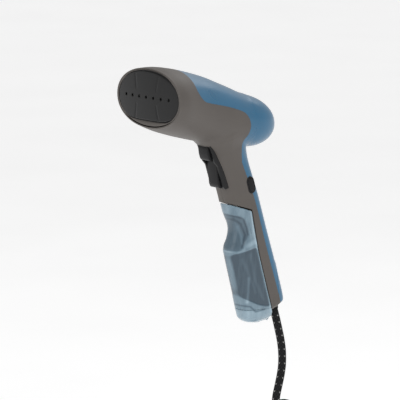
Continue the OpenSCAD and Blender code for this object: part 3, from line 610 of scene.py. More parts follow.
def domeX(y, z):
    return head["front"] - domeR + np.sqrt(np.maximum(domeR ** 2 - y ** 2 - (z - head["z"]) ** 2, 0))


def facePlate():
    front = []
    shares = list(np.linspace(0.02, 0.96, 56))
    for share in shares:
        o = headOutline(0) * share + np.array([0, head["z"]]) * (1 - share)
        x = domeX(o[:, 0], o[:, 1])
        side = np.abs(o[:, 0]) - head["creaseAt"] - 0.006 * (o[:, 1] - head["holeZ"]) ** 2
        away = np.clip((np.abs(o[:, 1] - head["holeZ"]) - 6.5) / 3, 0, 1)
        x = x - head["crease"] * np.exp(-(side / 0.85) ** 2) * away
        front.append(np.column_stack([x, o]))
    for k in range(1, 9):
        a = math.pi / 2 * k / 8
        o = headOutline(-head["edge"] * (1 - math.sin(a)))
        x = domeX(o[:, 0], o[:, 1]) - head["edge"] * (1 - math.cos(a))
        front.append(np.column_stack([x, o]))
    rings = front
    o = headOutline(0)
    rings.append(np.column_stack([np.full(len(o), 125.2), o]))
    o = headOutline(-head["skin"])
    rings.append(np.column_stack([np.full(len(o), 125.2), o]))
    for share in np.linspace(1, 0.02, 24):
        o = headOutline(-head["skin"]) * share + np.array([0, head["z"]]) * (1 - share)
        rings.append(np.column_stack([domeX(o[:, 0], o[:, 1]) - head["skin"], o]))
    obj = ringsMesh("facePlate", rings, sharp=180)
    holes = []
    for k in range(head["holes"]):
        y = (k - (head["holes"] - 1) / 2) * head["pitch"]
        x = float(domeX(np.array([y]), np.array([head["holeZ"]]))[0])
        r = head["holeD"] / 2
        path = np.array([[x + 2, y, head["holeZ"]], [x + 0.02, y, head["holeZ"]], [x - 0.55, y, head["holeZ"]],
                         [x - 8, y, head["holeZ"]]])
        v, f, _ = tubeData(path, [r + 1.5, r + 0.55, r, r], 40, up=(0, 0, 1))
        hole = newObject("hole", v, f)
        turnOut(hole)
        holes.append(hole)
    return shape(obj, holes)


def ringBand(name, outlines, material, sharp=40):
    """Closed band: each entry is (X, outline), and the last joins the first."""
    n = len(outlines[0][1])
    rings = [np.column_stack([np.full(n, x) if np.isscalar(x) else x, o]) for x, o in outlines]
    verts = np.concatenate(rings)
    m = len(rings)
    faces = [(i * n + k, i * n + (k + 1) % n, ((i + 1) % m) * n + (k + 1) % n, ((i + 1) % m) * n + k)
             for i in range(m) for k in range(n)]
    obj = newObject(name, verts, faces, sharp=sharp, material=material)
    turnOut(obj)
    return obj


def settle(obj, node, body_, slotName, material=None, sharp=None):
    if material is not None:
        obj.data.materials.clear()
        obj.data.materials.append(material)
    if sharp:
        finishMesh(obj, sharp)
    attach(obj, body_)
    for one in node if isinstance(node, (list, tuple)) else [node]:
        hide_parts(one)
    return obj


plate = settle(facePlate(), "face_plate", "housing", "plate_coating", plateCoat, 32)


def edgeX(o, drop_):
    return domeX(o[:, 0], o[:, 1]) - drop_


gasketOut, gasketIn = headOutline(head["gasket"]), headOutline(0.06)
gasketMid = headOutline(head["gasket"] / 2)
gasket = ringBand("faceGasket", [(130.1, gasketIn), (130.1, gasketOut), (edgeX(gasketOut, 1.5), gasketOut),
                                 (edgeX(gasketMid, 0.95), gasketMid), (edgeX(gasketIn, 1.3), gasketIn)], rubber, 60)
settle(gasket, "face_gasket", "housing", "black_rubber")
bezelIn, bezelOut = headOutline(head["gasket"] + 0.15), rimOutline(2.35)
bezelRows = [(130.7, bezelIn), (130.7, bezelOut), (132.5, bezelOut), (132.9, rimOutline(2.8)),
             (132.98, rimOutline(3.2)), (132.98, headOutline(head["gasket"] + 0.7)),
             (132.6, headOutline(head["gasket"] + 0.15))]
settle(ringBand("frontBezel", bezelRows, taupe, 50), "front_bezel", "housing", "housing_plastic")
print("steam head")

# ---- triggers, their surround and the power button ----
grip = {"steam": [[14, 83.6], [30.4, 84.4], [32.6, 80.5], [33.6, 74], [33.5, 68.5], [32.2, 65.6], [15.9, 65.6]],
        "boost": [[13.6, 63.3], [22.8, 63.4], [24.6, 62.2], [26.2, 54], [28.0, 44], [29.5, 35], [28.6, 30.6],
                  [25.5, 29.1], [17.3, 29.1]], "soft": 2.2}


def bevel(obj, width, segments=4, angle=35):
    mod = obj.modifiers.new("round", "BEVEL")
    mod.width, mod.segments, mod.limit_method = width * mm, segments, "ANGLE"
    mod.angle_limit = math.radians(angle)
    mod.use_clamp_overlap = True
    dg = bpy.context.evaluated_depsgraph_get()
    made = bpy.data.meshes.new_from_object(obj.evaluated_get(dg))
    obj.modifiers.clear()
    obj.data = made
    return obj


def corners(points, size, steps=5):
    """Rounds an outline's corners by a share of each side's length."""
    p = np.array(points, float)
    out = []
    for i in range(len(p)):
        a, b, c = p[i - 1], p[i], p[(i + 1) % len(p)]
        u = a + (b - a) * (1 - min(0.45, size / np.linalg.norm(b - a)))
        w = b + (c - b) * min(0.45, size / np.linalg.norm(c - b))
        for t in np.linspace(0, 1, steps):
            out.append((1 - t) ** 2 * u + 2 * t * (1 - t) * b + t * t * w)
    return out


def triggerPiece(name, side, pin, node, bodyName):
    obj = prism(name, [gripXZ(*p) for p in corners(side, 1.6)], "y", -fit["trigger"] / 2, fit["trigger"] / 2)
    bevel(obj, grip["soft"], 5)
    hole = roundAlong("pinHole", (*gripXZ(*pin)[:1], -20, gripXZ(*pin)[1]), (gripXZ(*pin)[0], 20, gripXZ(*pin)[1]), 1.25)
    shape(obj, hole)
    return settle(obj, node, bodyName, "dark_plastic", darkButton, 40)


triggerPiece("steamTrigger", grip["steam"], (20, 80), "steam_trigger", "steam_trigger")
triggerPiece("boostTrigger", grip["boost"], (17.5, 59.5), "boost_trigger", "boost_trigger")
surround = gripPrism("triggerSurround", corners(surroundSide, 1.2), fit["cheek"])
bevel(surround, 1.0, 4)
slotCut = gripPrism("slotCut", [[12.5, 20], [52, 20], [52, 100], [12.5, 100]], fit["trigger"] / 2 + 0.5)
pinCuts = [roundAlong("pinCut", (gripXZ(*p)[0], -30, gripXZ(*p)[1]), (gripXZ(*p)[0], 30, gripXZ(*p)[1]), 1.21)
           for p in ((20, 80), (17.5, 59.5))]
plungerCuts = [roundAlong("plungerCut", gripPoint(-z, 0, 4), gripPoint(-z, 20, 4), 1.6) for z in (69, 41)]
shape(surround, [slotCut] + pinCuts + plungerCuts)
settle(surround, "trigger_surround", "housing", "dark_plastic", dark, 40)

bezel = buttonPrism("buttonBezel", 20.2, 11.2, 14.0, fit["buttonFace"] - 0.5)
bevel(bezel, 0.7, 4)
shape(bezel, buttonPrism("bezelCut", 17.7, 8.7, 10, 25))
settle(bezel, "button_bezel", "housing", "dark_plastic", dark, 40)
button = buttonPrism("powerButton", fit["buttonLen"], fit["buttonW"], 12.4, fit["buttonFace"])
bevel(button, 1.3, 6)
flange = buttonPrism("buttonFlange", 19, 10, 12.4, 13.6)
shape(button, flange, "UNION")
springHole = gripPoint(-fit["buttonZ"], fit["buttonD"])
shape(button, roundAlong("springHole", (springHole[0], 11, springHole[2]), (springHole[0], 17.4, springHole[2]), 2.9))
settle(button, "power_button", "power_button", "dark_plastic", darkButton, 40)
print("controls")

# ---- tank: one skin from its sections, a pressed panel and a V at the top of each side ----
tank = {"wall": 2.0, "cell": 0.85, "inCell": 1.8, "base": -126.0, "topSoft": 1.4, "backSoft": 0.9, "panel": 0.8}
tankRows = catmull([[-12, gf, 20, gy - 0.3], [8, gf, 30, gy - 1], [18, gf - 1, 36, gy - 2.5],
                    [27, gf, 42, gy - 2.5], [36, gf + 5, 49, gy - 2], [43, 32.5, 55, gy - 0.8],
                    [50, 34.5, 61, gy - 0.3], [66, 35.5, 73, gy - 0.3], [100, 36.5, 105, gy - 0.3],
                    [128, 37.5, 136, gy - 0.3], [134, 36.5, 140, gy - 1.2], [139, 32.5, 143, gy - 3.5],
                    [142, 26.5, 145, gy - 7], [144, 23.5, 146.5, gy - 9]], 10)
tankBack = -gb - 2
tableS, tableD = np.arange(-40, 170, 0.5), np.arange(-45, 62, 0.5)


def tankTable():
    """Over the side view: how far across each section a point lies, and the half width there."""
    s, d = np.meshgrid(tableS, tableD, indexing="ij")
    row = np.arange(len(tankRows), dtype=float)
    low, high = np.zeros_like(s), np.full_like(s, len(tankRows) - 1.0)
    for _ in range(26):
        mid = (low + high) / 2
        sf, f, sb = (np.interp(mid, row, tankRows[:, k]) for k in range(3))
        share = np.clip((d - tankBack) / (f - tankBack), -0.3, 1.6)
        below = sb + (sf - sb) * share < s
        low, high = np.where(below, mid, low), np.where(below, high, mid)
    f = np.interp(low, row, tankRows[:, 1])
    over = np.maximum(s - (tankRows[-1, 2] + (tankRows[-1, 0] - tankRows[-1, 2])
                           * np.clip((d - tankBack) / (tankRows[-1, 1] - tankBack), -0.3, 1.6)), 0)
    return (d - (f + tankBack) / 2) / ((f - tankBack) / 2), np.interp(low, row, tankRows[:, 3]), over


def insideOf(outline):
    """Signed distance to an outline in the side view, negative inside, over the same table."""
    s, d = np.meshgrid(tableS, tableD, indexing="ij")
    p = np.array(outline, float)
    best, sign = np.full(s.shape, 1e9), np.ones(s.shape)
    for a, b in zip(p, np.roll(p, -1, 0)):
        e = b - a
        t = np.clip(((s - a[0]) * e[0] + (d - a[1]) * e[1]) / (e @ e), 0, 1)
        best = np.minimum(best, np.hypot(s - a[0] - t * e[0], d - a[1] - t * e[1]))
        cross = ((a[1] <= d) != (b[1] <= d)) & (s < e[0] * (d - a[1]) / (e[1] if abs(e[1]) > 1e-9 else 1e-9) + a[0])
        sign = np.where(cross, -sign, sign)
    return best * sign


panelOutline = corners([(50.2, 35), (50.4, 25.3), (52.2, 3.4), (129, 4.4), (121, 20), (104, 37.4), (91, 36.2)], 5, 7)
recessOutline = corners([(-1.9, 36), (8.7, 13.8), (16.4, 8.2), (27.7, 6.2), (35.9, 7.4), (50.1, 25), (46, 40)], 4, 6)
acrossTable, halfTable, overTable = tankTable()
panelTable, recessTable = insideOf(panelOutline), insideOf(recessOutline)


def pick(table, s, d):
    u = np.clip((s - tableS[0]) / 0.5, 0, len(tableS) - 1.001)
    v = np.clip((d - tableD[0]) / 0.5, 0, len(tableD) - 1.001)
    i, j = u.astype(int), v.astype(int)
    a, b = u - i, v - j
    return (table[i, j] * (1 - a) * (1 - b) + table[i + 1, j] * a * (1 - b)
            + table[i, j + 1] * (1 - a) * b + table[i + 1, j + 1] * a * b)


def smoothStep(v):
    v = np.clip(v, 0, 1)
    return v * v * (3 - 2 * v)


def tankLoft(x, y, z):
    s = -x * tiltSin - z * tiltCos
    d = x * tiltCos - z * tiltSin
    half = pick(halfTable, s, d)
    deep = tank["panel"] * smoothStep(-pick(panelTable, s, d) / 1.6) + 1.2 * smoothStep(-pick(recessTable, s, d) / 2.0)
    n = body["gripSquare"]
    return ((np.abs(pick(acrossTable, s, d)) ** n + np.abs(y / (half - deep)) ** n) ** (1 / n) - 1
            + pick(overTable, s, d) / 10)


topLine = [((60, 15), (24, 2)), ((24, 2), (-3.5, -7.2))]


def tankField(x, y, z, t):
    d = x * tiltCos - z * tiltSin
    s = -x * tiltSin - z * tiltCos
    f = distance(tankLoft, x, y, z) + t
    rail = np.maximum(np.maximum(np.abs(y) - (gy - 0.3), d - 6.3), s - 52) + t
    h = np.maximum(1.6 - np.abs(f - rail), 0) / 1.6
    f = np.minimum(f, rail) - h * h * 0.4
    planes = []
    for (x0, z0), (x1, z1) in topLine:
        u = np.array([z0 - z1, x1 - x0], float)
        u = -u / np.linalg.norm(u) if u[1] < 0 else u / np.linalg.norm(u)
        u = u if u[1] > 0 else -u
        planes.append((x - x0) * u[0] + (z - z0) * u[1] + t)
    back = np.minimum(-1.24 + 0.081 * (s - 7.9), 2.5 + 0.008 * s) - d + t
    r = tank["topSoft"]
    return softMax(softMax(softMax(f, planes[0], r), planes[1], r), back, tank["backSoft"])


def tankPiece(name, upper, node, material):
    g = fit["tankGap"] / 2
    cut = (lambda z: tank["base"] + 0.12 - z) if upper else (lambda z: z - tank["base"] + 0.12)
    low = (-45, -20.5, tank["base"] - 2 if upper else -158)
    high = (62, 20.5, 20 if upper else tank["base"] + 2)
    skin = netsMesh(name, lambda x, y, z: np.maximum(tankField(x, y, z, g), cut(z)), low, high, tank["cell"])
    if upper:
        neck = roundAlong("neckCut", (fit["neckX"], 0, -12.5), (fit["neckX"], 0, 30), fit["neckR"] + 0.1)
        void = netsMesh("void", lambda x, y, z: np.maximum(tankField(x, y, z, g + tank["wall"]), cut(z) - 3), (-45, -20.5, -132),
                        high, tank["inCell"], 2)
        shape(skin, [void, neck])
    else:
        void = netsMesh("void", lambda x, y, z: np.maximum(tankField(x, y, z, g + tank["wall"]), cut(z) - 3), low,
                        (62, 20.5, -120), tank["inCell"], 2)
        shape(skin, [void, roundAlong("plugCut", gripPoint(166, 12), gripPoint(129, 12), 8.8)])
    settle(skin, node, "tank", "clear_plastic", material, 45)
    # Painted light and shade for the tank, stored per point in the 'shade' attribute.
    paintedLightMask = skin.data.attributes.new("shade", "FLOAT", "POINT")
    co = np.empty(len(skin.data.vertices) * 3, np.float32)
    skin.data.vertices.foreach_get("co", co)
    x, y, z = co.reshape(-1, 3).T * 1000
    paintedLightMask.data.foreach_set("value", tankPaintedLight(x, y, z).astype(np.float32))
    return skin


def stroke(points, s, d, width):
    """1 on a line through the points in the side view, fading out over its width."""
    best = np.full(np.shape(s), 1e9)
    for a, b in zip(np.array(points[:-1], float), np.array(points[1:], float)):
        e = b - a
        t = np.clip(((s - a[0]) * e[0] + (d - a[1]) * e[1]) / (e @ e), 0, 1)
        best = np.minimum(best, np.hypot(s - a[0] - t * e[0], d - a[1] - t * e[1]))
    return np.exp(-(best / width) ** 2)


def tankPaintedLight(x, y, z):
    """Painted light and shade over the tank: darker over the panel, painted shade in the recess, painted highlight
    lines along rims and ribs, and painted shade lines along folds and panel edges.
    """
    s = -x * tiltSin - z * tiltCos
    d = x * tiltCos - z * tiltSin
    shade = np.full(s.shape, 0.62)
    # Darker over the pressed panel, and painted shade in the recess.
    shade -= 0.62 * smoothStep(-pick(panelTable, s, d) / 1.4)
    shade -= 0.4 * smoothStep(-pick(recessTable, s, d) / 2.2)
    # Bright strokes are painted highlights along rims and ribs; dark strokes are painted shade lines along folds and
    # panel edges.
    shade += 0.3 * stroke([(8, 0.8), (34, 3.0), (60, 4.4), (134, 5.2)], s, d, 1.3)
    shade += 0.28 * stroke([(-14, 21), (-3, 7), (2, 5)], s, d, 2.2)
    shade += 0.2 * smoothStep((s - 43 - (d - 25) * 0.1) / 4) * smoothStep((50 - s) / 3) * smoothStep((np.abs(d - 25) - 5) / 4)
    shade -= 0.45 * stroke([(43, 45), (60, 42.4), (96, 42), (110, 41.5)], s, d, 0.75)
    shade += 0.22 * stroke([(44, 48), (60, 45.6), (100, 45), (122, 43)], s, d, 1.2)
    shade -= 0.3 * stroke([(12, 20), (20, 14), (34, 13), (46, 22)], s, d, 1.1)
    shade -= 0.22 * stroke([(6, 22), (14, 11), (26, 8.6), (35, 9.4)], s, d, 0.9)
    shade += 0.18 * stroke([(22, 17), (34, 17.5), (42, 20)], s, d, 1.3)
    shade += 0.3 * stroke([(84, 24), (100, 28), (112, 32)], s, d, 1.7)
    shade += 0.12 * stroke([(58, 14), (86, 17), (116, 12)], s, d, 2.2)
    shade += 0.1 * stroke([(60, 26), (76, 23), (104, 20)], s, d, 2.0)
    shade -= 0.4 * stroke([(113, 41), (118, 30), (126, 26), (128, 14)], s, d, 0.9)
    shade += 0.2 * smoothStep((s - 128 + d * 0.25) / 5)
    shade -= 0.45 * smoothStep((s - 142.5) / 2.5) * smoothStep((d - 6) / 6)
    return np.clip(shade, 0, 1)


def tankMaterial():
    n = Net("tankPlastic")
    mask = n.tree.nodes.new("ShaderNodeAttribute")
    mask.attribute_name = "shade"
    turned = n.add("ShaderNodeMapping", Vector=n.coord.outputs["Object"], Rotation=(0, -tilt, 0), Scale=(1, 1, 0.16)).outputs["Vector"]
    # Noise streaks stretched along the grip: painted reflections in the tank.
    streak = n.spread(n.noise(170, 3, 0.5, turned), -0.09, 0.09)
    level = n.maths("ADD", mask.outputs["Fac"], streak)
    # The ramp turns the painted light and shade into the tank's colour, dark to pale blue-grey.
    ramp = n.tree.nodes.new("ShaderNodeValToRGB")
    n.link(level, ramp.inputs["Fac"])
    stops = ramp.color_ramp.elements
    stops[0].position, stops[0].color = 0.0, (0.05, 0.085, 0.118, 1)
    stops[1].position, stops[1].color = 1.0, (0.42, 0.56, 0.65, 1)
    middle = stops.new(0.55)
    middle.color = (0.16, 0.245, 0.31, 1)
    n.give(Base_Color=ramp.outputs["Color"], Roughness=n.spread(n.noise(300, 2), 0.1, 0.2), Transmission_Weight=0.12,
           IOR=1.46, Coat_Weight=0.3, Coat_Roughness=0.08)
    n.bump(n.noise(60, 2), 0.06, 0.0002)
    return n.mat


tankMat = tankMaterial()
tankPiece("waterTank", True, "water_tank", tankMat)
tankPiece("tankBase", False, "tank_base", tankMat)
print("tank")

# ---- mains cord: down from the spine, wound and tied, then its plug ----
flex = {"d": 9.4, "front": -57.9, "outer": 37.6, "inner": 28.2, "topZ": -288.7, "lowZ": -429.7,
        "waistOuter": 14.4, "waistInner": 5.0, "tailX": -53.0, "plugTop": -484.4, "turns": [(0, 1), (1, 2), (2, 3), (3, 2)],
        "spacing": 2.4, "sides": 18, "length": 2.45}


def waistY(z, fold, waist):
    u = (flex["topZ"] - z) / (flex["topZ"] - flex["lowZ"])
    return fold + (waist - fold) * math.sin(math.pi * u) ** 2


def straightRun(x, side, fold, waist, zFrom, zTo, steps=24):
    return [(x, side * waistY(z, fold, waist), z) for z in np.linspace(zFrom, zTo, steps)]


def fold(xFrom, xTo, rFrom, rTo, top, steps=28):
    """Half a turn: over the top from -Y to +Y, or under the bottom from +Y to -Y."""
    out = []
    for k in range(steps + 1):
        t = k / steps
        e = t * t * (3 - 2 * t)
        a = math.pi * (1 - t) if top else -math.pi * t
        r = rFrom + (rTo - rFrom) * e
        mid = flex["topZ"] if top else flex["lowZ"]
        out.append((xFrom + (xTo - xFrom) * e, r * math.cos(a), mid + r * math.sin(a)))
    return out


def cordPath():
    layer = [flex["front"] - k * flex["d"] for k in range(4)]
    route = [(-47.6, 0, -111.2), (-50.9, 0, -122.1), (-54.2, 0, -132.9), (-58.1, 0, -145.5), (-62, 0, -159), (-65.8, 0, -174),
             (-67.8, 0, -188), (-67.8, 0, -202), (-65.6, 0, -215), (-62, 0, -228), (-59, 0, -239), (-57.9, 0, -248)]
    path = list(catmull(route, 6))
    zJoin = -330.0
    yJoin = waistY(zJoin, flex["outer"], flex["waistOuter"])
    slope = (waistY(zJoin - 1, flex["outer"], flex["waistOuter"]) - yJoin) * 80
    for k in range(1, 21):
        t = k / 20
        h = (2 * t ** 3 - 3 * t ** 2 + 1, t ** 3 - 2 * t ** 2 + t, -2 * t ** 3 + 3 * t ** 2, t ** 3 - t ** 2)
        path.append((flex["front"], h[2] * yJoin + h[3] * slope, -248 + (zJoin + 248) * t))
    start = zJoin
    for i, (a, b) in enumerate(flex["turns"]):
        ring = "outer" if i < 3 else "inner"
        r, w = flex[ring], flex["waist" + ring.capitalize()]
        nextR = flex["inner"] if i >= 2 else flex["outer"]
        path += straightRun(layer[a], 1, r, w, start, flex["lowZ"])[1:]
        path += fold(layer[a], layer[b], r, r, False)[1:]
        path += straightRun(layer[b], -1, r, w, flex["lowZ"], flex["topZ"])[1:]
        path += fold(layer[b], layer[b], r, nextR, True)[1:]
        start = flex["topZ"]
    leave = -364.0
    path += straightRun(layer[2], 1, flex["inner"], flex["waistInner"], start, leave)[1:]
    y0, down = path[-1][1], 78.0
    for k in range(1, 25):
        t = k / 24
        e = t * t * (3 - 2 * t)
        path.append((layer[2] + (flex["tailX"] - layer[2]) * e, y0 * (1 - e), leave - down * t))
    path.append((flex["tailX"], 0, flex["plugTop"] - 2))
    return spread(path, flex["spacing"])


def braidMaterial():
    """Woven sleeve: two sets of strands crossing, dark, with pale flecks every few strands."""
    n = Net("cordBraid")
    uv = n.add("ShaderNodeSeparateXYZ", Vector=n.coord.outputs["UV"])
    along = n.maths("MULTIPLY", uv.outputs[0], 2 * math.pi * 230)
    around = n.maths("MULTIPLY", uv.outputs[1], 2 * math.pi * 8)
    a = n.maths("SINE", n.maths("ADD", along, around))
    b = n.maths("SINE", n.maths("SUBTRACT", along, around))
    weave = n.maths("MAXIMUM", a, b)
    slowA = n.maths("MULTIPLY", uv.outputs[0], 2 * math.pi * 57.5)
    slowB = n.maths("MULTIPLY", uv.outputs[1], 2 * math.pi * 2)
    pick_ = n.maths("MULTIPLY", n.maths("SINE", n.maths("ADD", slowA, slowB)), n.maths("SINE", n.maths("SUBTRACT", slowA, slowB)))
    fleck = n.maths("MULTIPLY", n.maths("GREATER_THAN", pick_, 0.8), n.maths("GREATER_THAN", weave, 0.2))
    base = n.mixColour(n.spread(weave, 0, 1, -0.4, 1), (0.003, 0.003, 0.0035), (0.016, 0.016, 0.017))
    n.give(Base_Color=n.mixColour(fleck, base, (0.3, 0.3, 0.29)), Roughness=0.8, Specular_IOR_Level=0.2)
    n.bump(weave, 0.5, 0.0004)
    return n.mat


route = cordPath()
run = np.linalg.norm(np.diff(route, axis=0), axis=1).sum()
v, f, uv = tubeData(route, flex["d"] / 2, flex["sides"], uScale=mm)
braid = braidMaterial()
cordObj = newObject("mainsCord", v, f, uv, sharp=60, material=braid)
turnOut(cordObj)
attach(cordObj, "housing")
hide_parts("power_cord", "cord_hank", "cord_tail")


def lathe(name, profile, origin, axis, sides=64, sharp=40):
    """Turned solid: profile is (distance along axis, radius)."""
    axis = np.array(axis, float) / np.linalg.norm(axis)
    path = np.array([np.array(origin) + axis * p[0] for p in profile])
    u = np.cross(axis, (0, 1, 0) if abs(axis[1]) < 0.9 else (1, 0, 0))
    u /= np.linalg.norm(u)
    w = np.cross(axis, u)
    ang = np.arange(sides) * 2 * math.pi / sides
    rings = [path[i] + profile[i][1] * (np.cos(ang)[:, None] * u + np.sin(ang)[:, None] * w) for i in range(len(profile))]
    return ringsMesh(name, rings, sharp=sharp)


plug = {"x": flex["tailX"], "top": flex["plugTop"], "width": 28.0, "deep": 17.0, "body": 26.0, "neck": 12.0}
sections = [(0, 6.2, 6.2, 2), (-2, 6.8, 6.8, 2), (-8, 7.0, 7.0, 2), (-12, 8.0, 9.5, 2.2), (-16, 8.4, 13.0, 2.8),
            (-20, 8.4, 13.9, 3.4), (-27, 8.0, 13.6, 3.6), (-33, 8.2, 13.8, 3.8), (-36.8, 8.3, 13.8, 4), (-38, 7.6, 13.1, 4)]
ang = (np.arange(64) + 0.5) * 2 * math.pi / 64
rings = [np.column_stack([plug["x"] + r[1] * spow(np.cos(ang), 2 / r[3]), r[2] * spow(np.sin(ang), 2 / r[3]),
                          np.full(64, plug["top"] + r[0])]) for r in catmull(sections, 6)]
plugBody = ringsMesh("plugBody", rings[::-1], sharp=50)
shape(plugBody, roundAlong("cordCut", (plug["x"], 0, plug["top"] + 4), (plug["x"], 0, plug["top"] - 6), 4.75))
settle(plugBody, "plug_body", "housing", "dark_plastic", dark, 50)
brass = metal("bladeBrass", (0.62, 0.5, 0.27), 0.25, (1, 1, 0.1))
blades = []
for s in (-1, 1):
    blade = prism("blade", [(plug["x"] - 3.2, plug["top"] - 37.5), (plug["x"] + 3.2, plug["top"] - 37.5),
                            (plug["x"] + 3.2, plug["top"] - 53.5), (plug["x"] + 2.2, plug["top"] - 55),
                            (plug["x"] - 2.2, plug["top"] - 55), (plug["x"] - 3.2, plug["top"] - 53.5)],
                  "y", s * 6.35 - 0.75, s * 6.35 + 0.75)
    hole = roundAlong("bladeHole", (plug["x"], s * 6.35 - 3, plug["top"] - 51), (plug["x"], s * 6.35 + 3, plug["top"] - 51), 1.4, 24)
    blades.append(bevel(shape(blade, hole), 0.25, 3))
plugBlades = blades[0]
other = np.array([c.co for c in blades[1].data.vertices]) * 1000
faces = [list(p.vertices) for p in plugBlades.data.polygons]
shift = len(plugBlades.data.vertices)
verts = list(np.array([c.co for c in plugBlades.data.vertices]) * 1000) + list(other)
faces += [[i + shift for i in p.vertices] for p in blades[1].data.polygons]
drop(*blades)
plugBlades = newObject("plugBlades", verts, faces, sharp=35)
settle(plugBlades, "plug_blades", "housing", "blade_brass", brass)

tie = {"z": -359.2, "high": 18.0, "x0": -91.9, "x1": -52.1, "y": 20.6, "thick": 1.3}
outline = corners([(tie["x0"], -tie["y"]), (tie["x1"], -tie["y"]), (tie["x1"], tie["y"]), (tie["x0"], tie["y"])], 9, 10)
outline = np.array(outline)
mid = outline.mean(0)
n_ = len(outline)
t_ = np.roll(outline, -1, 0) - np.roll(outline, 1, 0)
nrm = np.stack([t_[:, 1], -t_[:, 0]], 1) / np.linalg.norm(t_, axis=1)[:, None]
rings = []
for dz, off in ((-9, 0.3), (-9, 1.0), (-8.6, 1.3), (-4.5, 1.45), (0, 1.5), (4.5, 1.45), (8.6, 1.3), (9, 1.0), (9, 0.3), (8.6, 0), (-8.6, 0)):
    rings.append(np.column_stack([outline[:, 0] + nrm[:, 0] * off, outline[:, 1] + nrm[:, 1] * off, np.full(n_, tie["z"] + dz)]))
m_ = len(rings)
faces = [(i * n_ + k, i * n_ + (k + 1) % n_, ((i + 1) % m_) * n_ + (k + 1) % n_, ((i + 1) % m_) * n_ + k)
         for i in range(m_) for k in range(n_)]
cordTie = newObject("cordTie", np.concatenate(rings), faces, sharp=50)
turnOut(cordTie)


def strapMaterial():
    n = Net("strapFabric")
    scaled = n.add("ShaderNodeMapping", Vector=n.coord.outputs["Object"], Scale=(1, 1, 3)).outputs["Vector"]
    fuzz = n.noise(900, 5, 0.7, scaled)
    n.give(Base_Color=n.mixColour(n.spread(fuzz, 0, 1), (0.012, 0.012, 0.013), (0.05, 0.05, 0.052)),
           Roughness=0.85, Sheen_Weight=0.4)
    n.bump(fuzz, 0.6, 0.0004)
    return n.mat


settle(cordTie, "cord_tie", "housing", "dark_plastic", strapMaterial())
reliefAxis = gripPoint(1, 0)
relief = {"in": 18.0, "out": 7.0, "ribs": 4}
reliefProfile = [(-18, 0.01), (-18, 7.0), (-17.8, 7.2), (-8.2, 7.2), (-8, 7.0), (-7, 6.2), (0.8, 6.15), (1.2, 5.9)]
for k in range(relief["ribs"]):
    a = 1.4 + k * 1.4
    r = 6.05 - k * 0.2
    reliefProfile += [(a, r - 0.35), (a + 0.3, r), (a + 0.75, r), (a + 1.05, r - 0.35)]
reliefProfile += [(7, 5.3), (7, 4.85), (7, 0.01)]
reliefObj = lathe("strainRelief", reliefProfile, gripPoint(136, fit["reliefD"]), reliefAxis)
shape(reliefObj, roundAlong("reliefCut", gripPoint(150, fit["reliefD"]), gripPoint(105, fit["reliefD"]), 4.8))
settle(reliefObj, "strain_relief", "housing", "black_rubber", rubber, 40)
fillerBlue = plastic("fillerRubber", (0.05, 0.13, 0.24), 0.55)
filler = lathe("fillerPlug", [(-5.2 - 6, 0.01), (-5.2 - 6, 5.6), (-5.2 - 5.6, 6), (-5.2 - 1.2, 6), (-5.2 - 1.2, 8.3),
                              (-5.2 - 1.0, 8.5), (-5.4, 8.5), (-5.2, 8.3), (-5.2, 4.2), (-5.8, 3.9), (-5.8, 0.01)],
               gripPoint(149, 12), reliefAxis)
settle(filler, "filler_plug", "filler_plug", "blue_rubber", fillerBlue, 40)
print("cord", round(run, 1), "mm of path")

# ---- pieces kept from the drawing: finish for each kind ----
aluminium = metal("castAluminium", (0.6, 0.61, 0.62), 0.42, (1, 1, 1), 0.00008, 0.15)
steel = metal("springSteel", (0.55, 0.55, 0.56), 0.25, (1, 6, 1))
copper = metal("copperWinding", (0.6, 0.28, 0.13), 0.3, (14, 1, 1), 0.0001)
pale = plastic("paleNylon", (0.72, 0.71, 0.66), 0.42, 900, 0.00003)
red = plastic("redNylon", (0.5, 0.045, 0.03), 0.35)
silicone = plastic("tubeSilicone", (0.62, 0.6, 0.55), 0.35, 500, 0.00002, 0.08, Transmission_Weight=0.2)
redSilicone = plastic("gasketSilicone", (0.42, 0.06, 0.035), 0.5)
micaSheet = plastic("micaSheet", (0.42, 0.35, 0.22), 0.3, 1600, 0.0001, 0.25)
wireCover = plastic("wireCover", (0.03, 0.03, 0.032), 0.45)


def boardMaterial():
    n = Net("circuitBoard")
    scaled = n.add("ShaderNodeMapping", Vector=n.coord.outputs["Object"], Scale=(420, 420, 420)).outputs["Vector"]
    cells = n.add("ShaderNodeTexVoronoi", Vector=scaled, Scale=1.0, feature="DISTANCE_TO_EDGE")
    track = n.maths("LESS_THAN", cells.outputs["Distance"], 0.08)
    n.give(Base_Color=n.mixColour(track, (0.015, 0.13, 0.05), (0.05, 0.26, 0.1)), Roughness=0.35)
    n.bump(track, 0.2, 0.00005)
    return n.mat


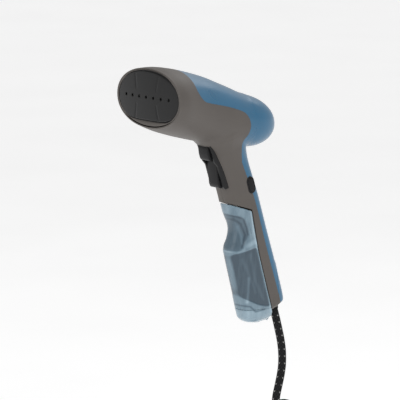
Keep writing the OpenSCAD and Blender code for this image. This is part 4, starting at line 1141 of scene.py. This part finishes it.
slotFinish = {"housing_plastic": taupe, "cover_plastic": blue, "plate_coating": plateCoat, "dark_plastic": dark,
              "red_plastic": red, "clear_plastic": tankMat, "pale_plastic": pale, "blue_rubber": fillerBlue,
              "black_rubber": rubber, "silicone": silicone, "red_silicone": redSilicone, "cast_aluminium": aluminium,
              "steel": steel, "mica": micaSheet, "copper_winding": copper, "circuit_board": boardMaterial(),
              "wire_cover": wireCover, "cord_braid": braid, "blade_brass": brass}
nodeSlot = {part["node"]: part["material_slot"] for part in frame["record"]["subparts"]}
for name, obj in frame["nodes"].items():
    if obj.hide_render:
        continue
    finish = slotFinish[nodeSlot[name]]
    obj.data.materials.clear()
    obj.data.materials.append(finish)
print("kept pieces", sum(1 for o in frame["nodes"].values() if not o.hide_render))

# ---- floor and light ----
floorNet = Net("floorPaper")
floorNet.give(Emission_Color=(1, 1, 1, 1), Emission_Strength=0.34, Base_Color=floorNet.mixColour(floorNet.spread(floorNet.noise(3, 2), 0, 1), (0.87, 0.87, 0.87), (0.9, 0.9, 0.9)),
              Roughness=0.85)
bpy.ops.mesh.primitive_plane_add(size=60, location=(0, 0, -0.56))
floor = bpy.context.object
floor.name = "floor"
floor.data.materials.append(floorNet.mat)
world = bpy.data.worlds.new("room")
scene.world = world
world.use_nodes = True
world.node_tree.nodes["Background"].inputs[0].default_value = (1, 1, 1, 1)
world.node_tree.nodes["Background"].inputs[1].default_value = 0.62
for name, spot, aim, size, power in (("keyLight", (0.4, 1.6, 1.7), (0, 0, 0.05), 1.2, 11),
                                     ("fillLight", (2.0, 0.2, 0.6), (0, 0, 0.05), 1.4, 4),
                                     ("rimLight", (-1.4, -0.6, 1.4), (0, 0, 0.1), 1.0, 5)):
    data = bpy.data.lights.new(name, "AREA")
    data.size, data.energy = size, power
    lamp = bpy.data.objects.new(name, data)
    scene.collection.objects.link(lamp)
    lamp.location = spot
    lamp.rotation_mode = "QUATERNION"
    lamp.rotation_quaternion = (Vector(aim) - Vector(spot)).to_track_quat("-Z", "Y")
scene.view_settings.view_transform = "Standard"
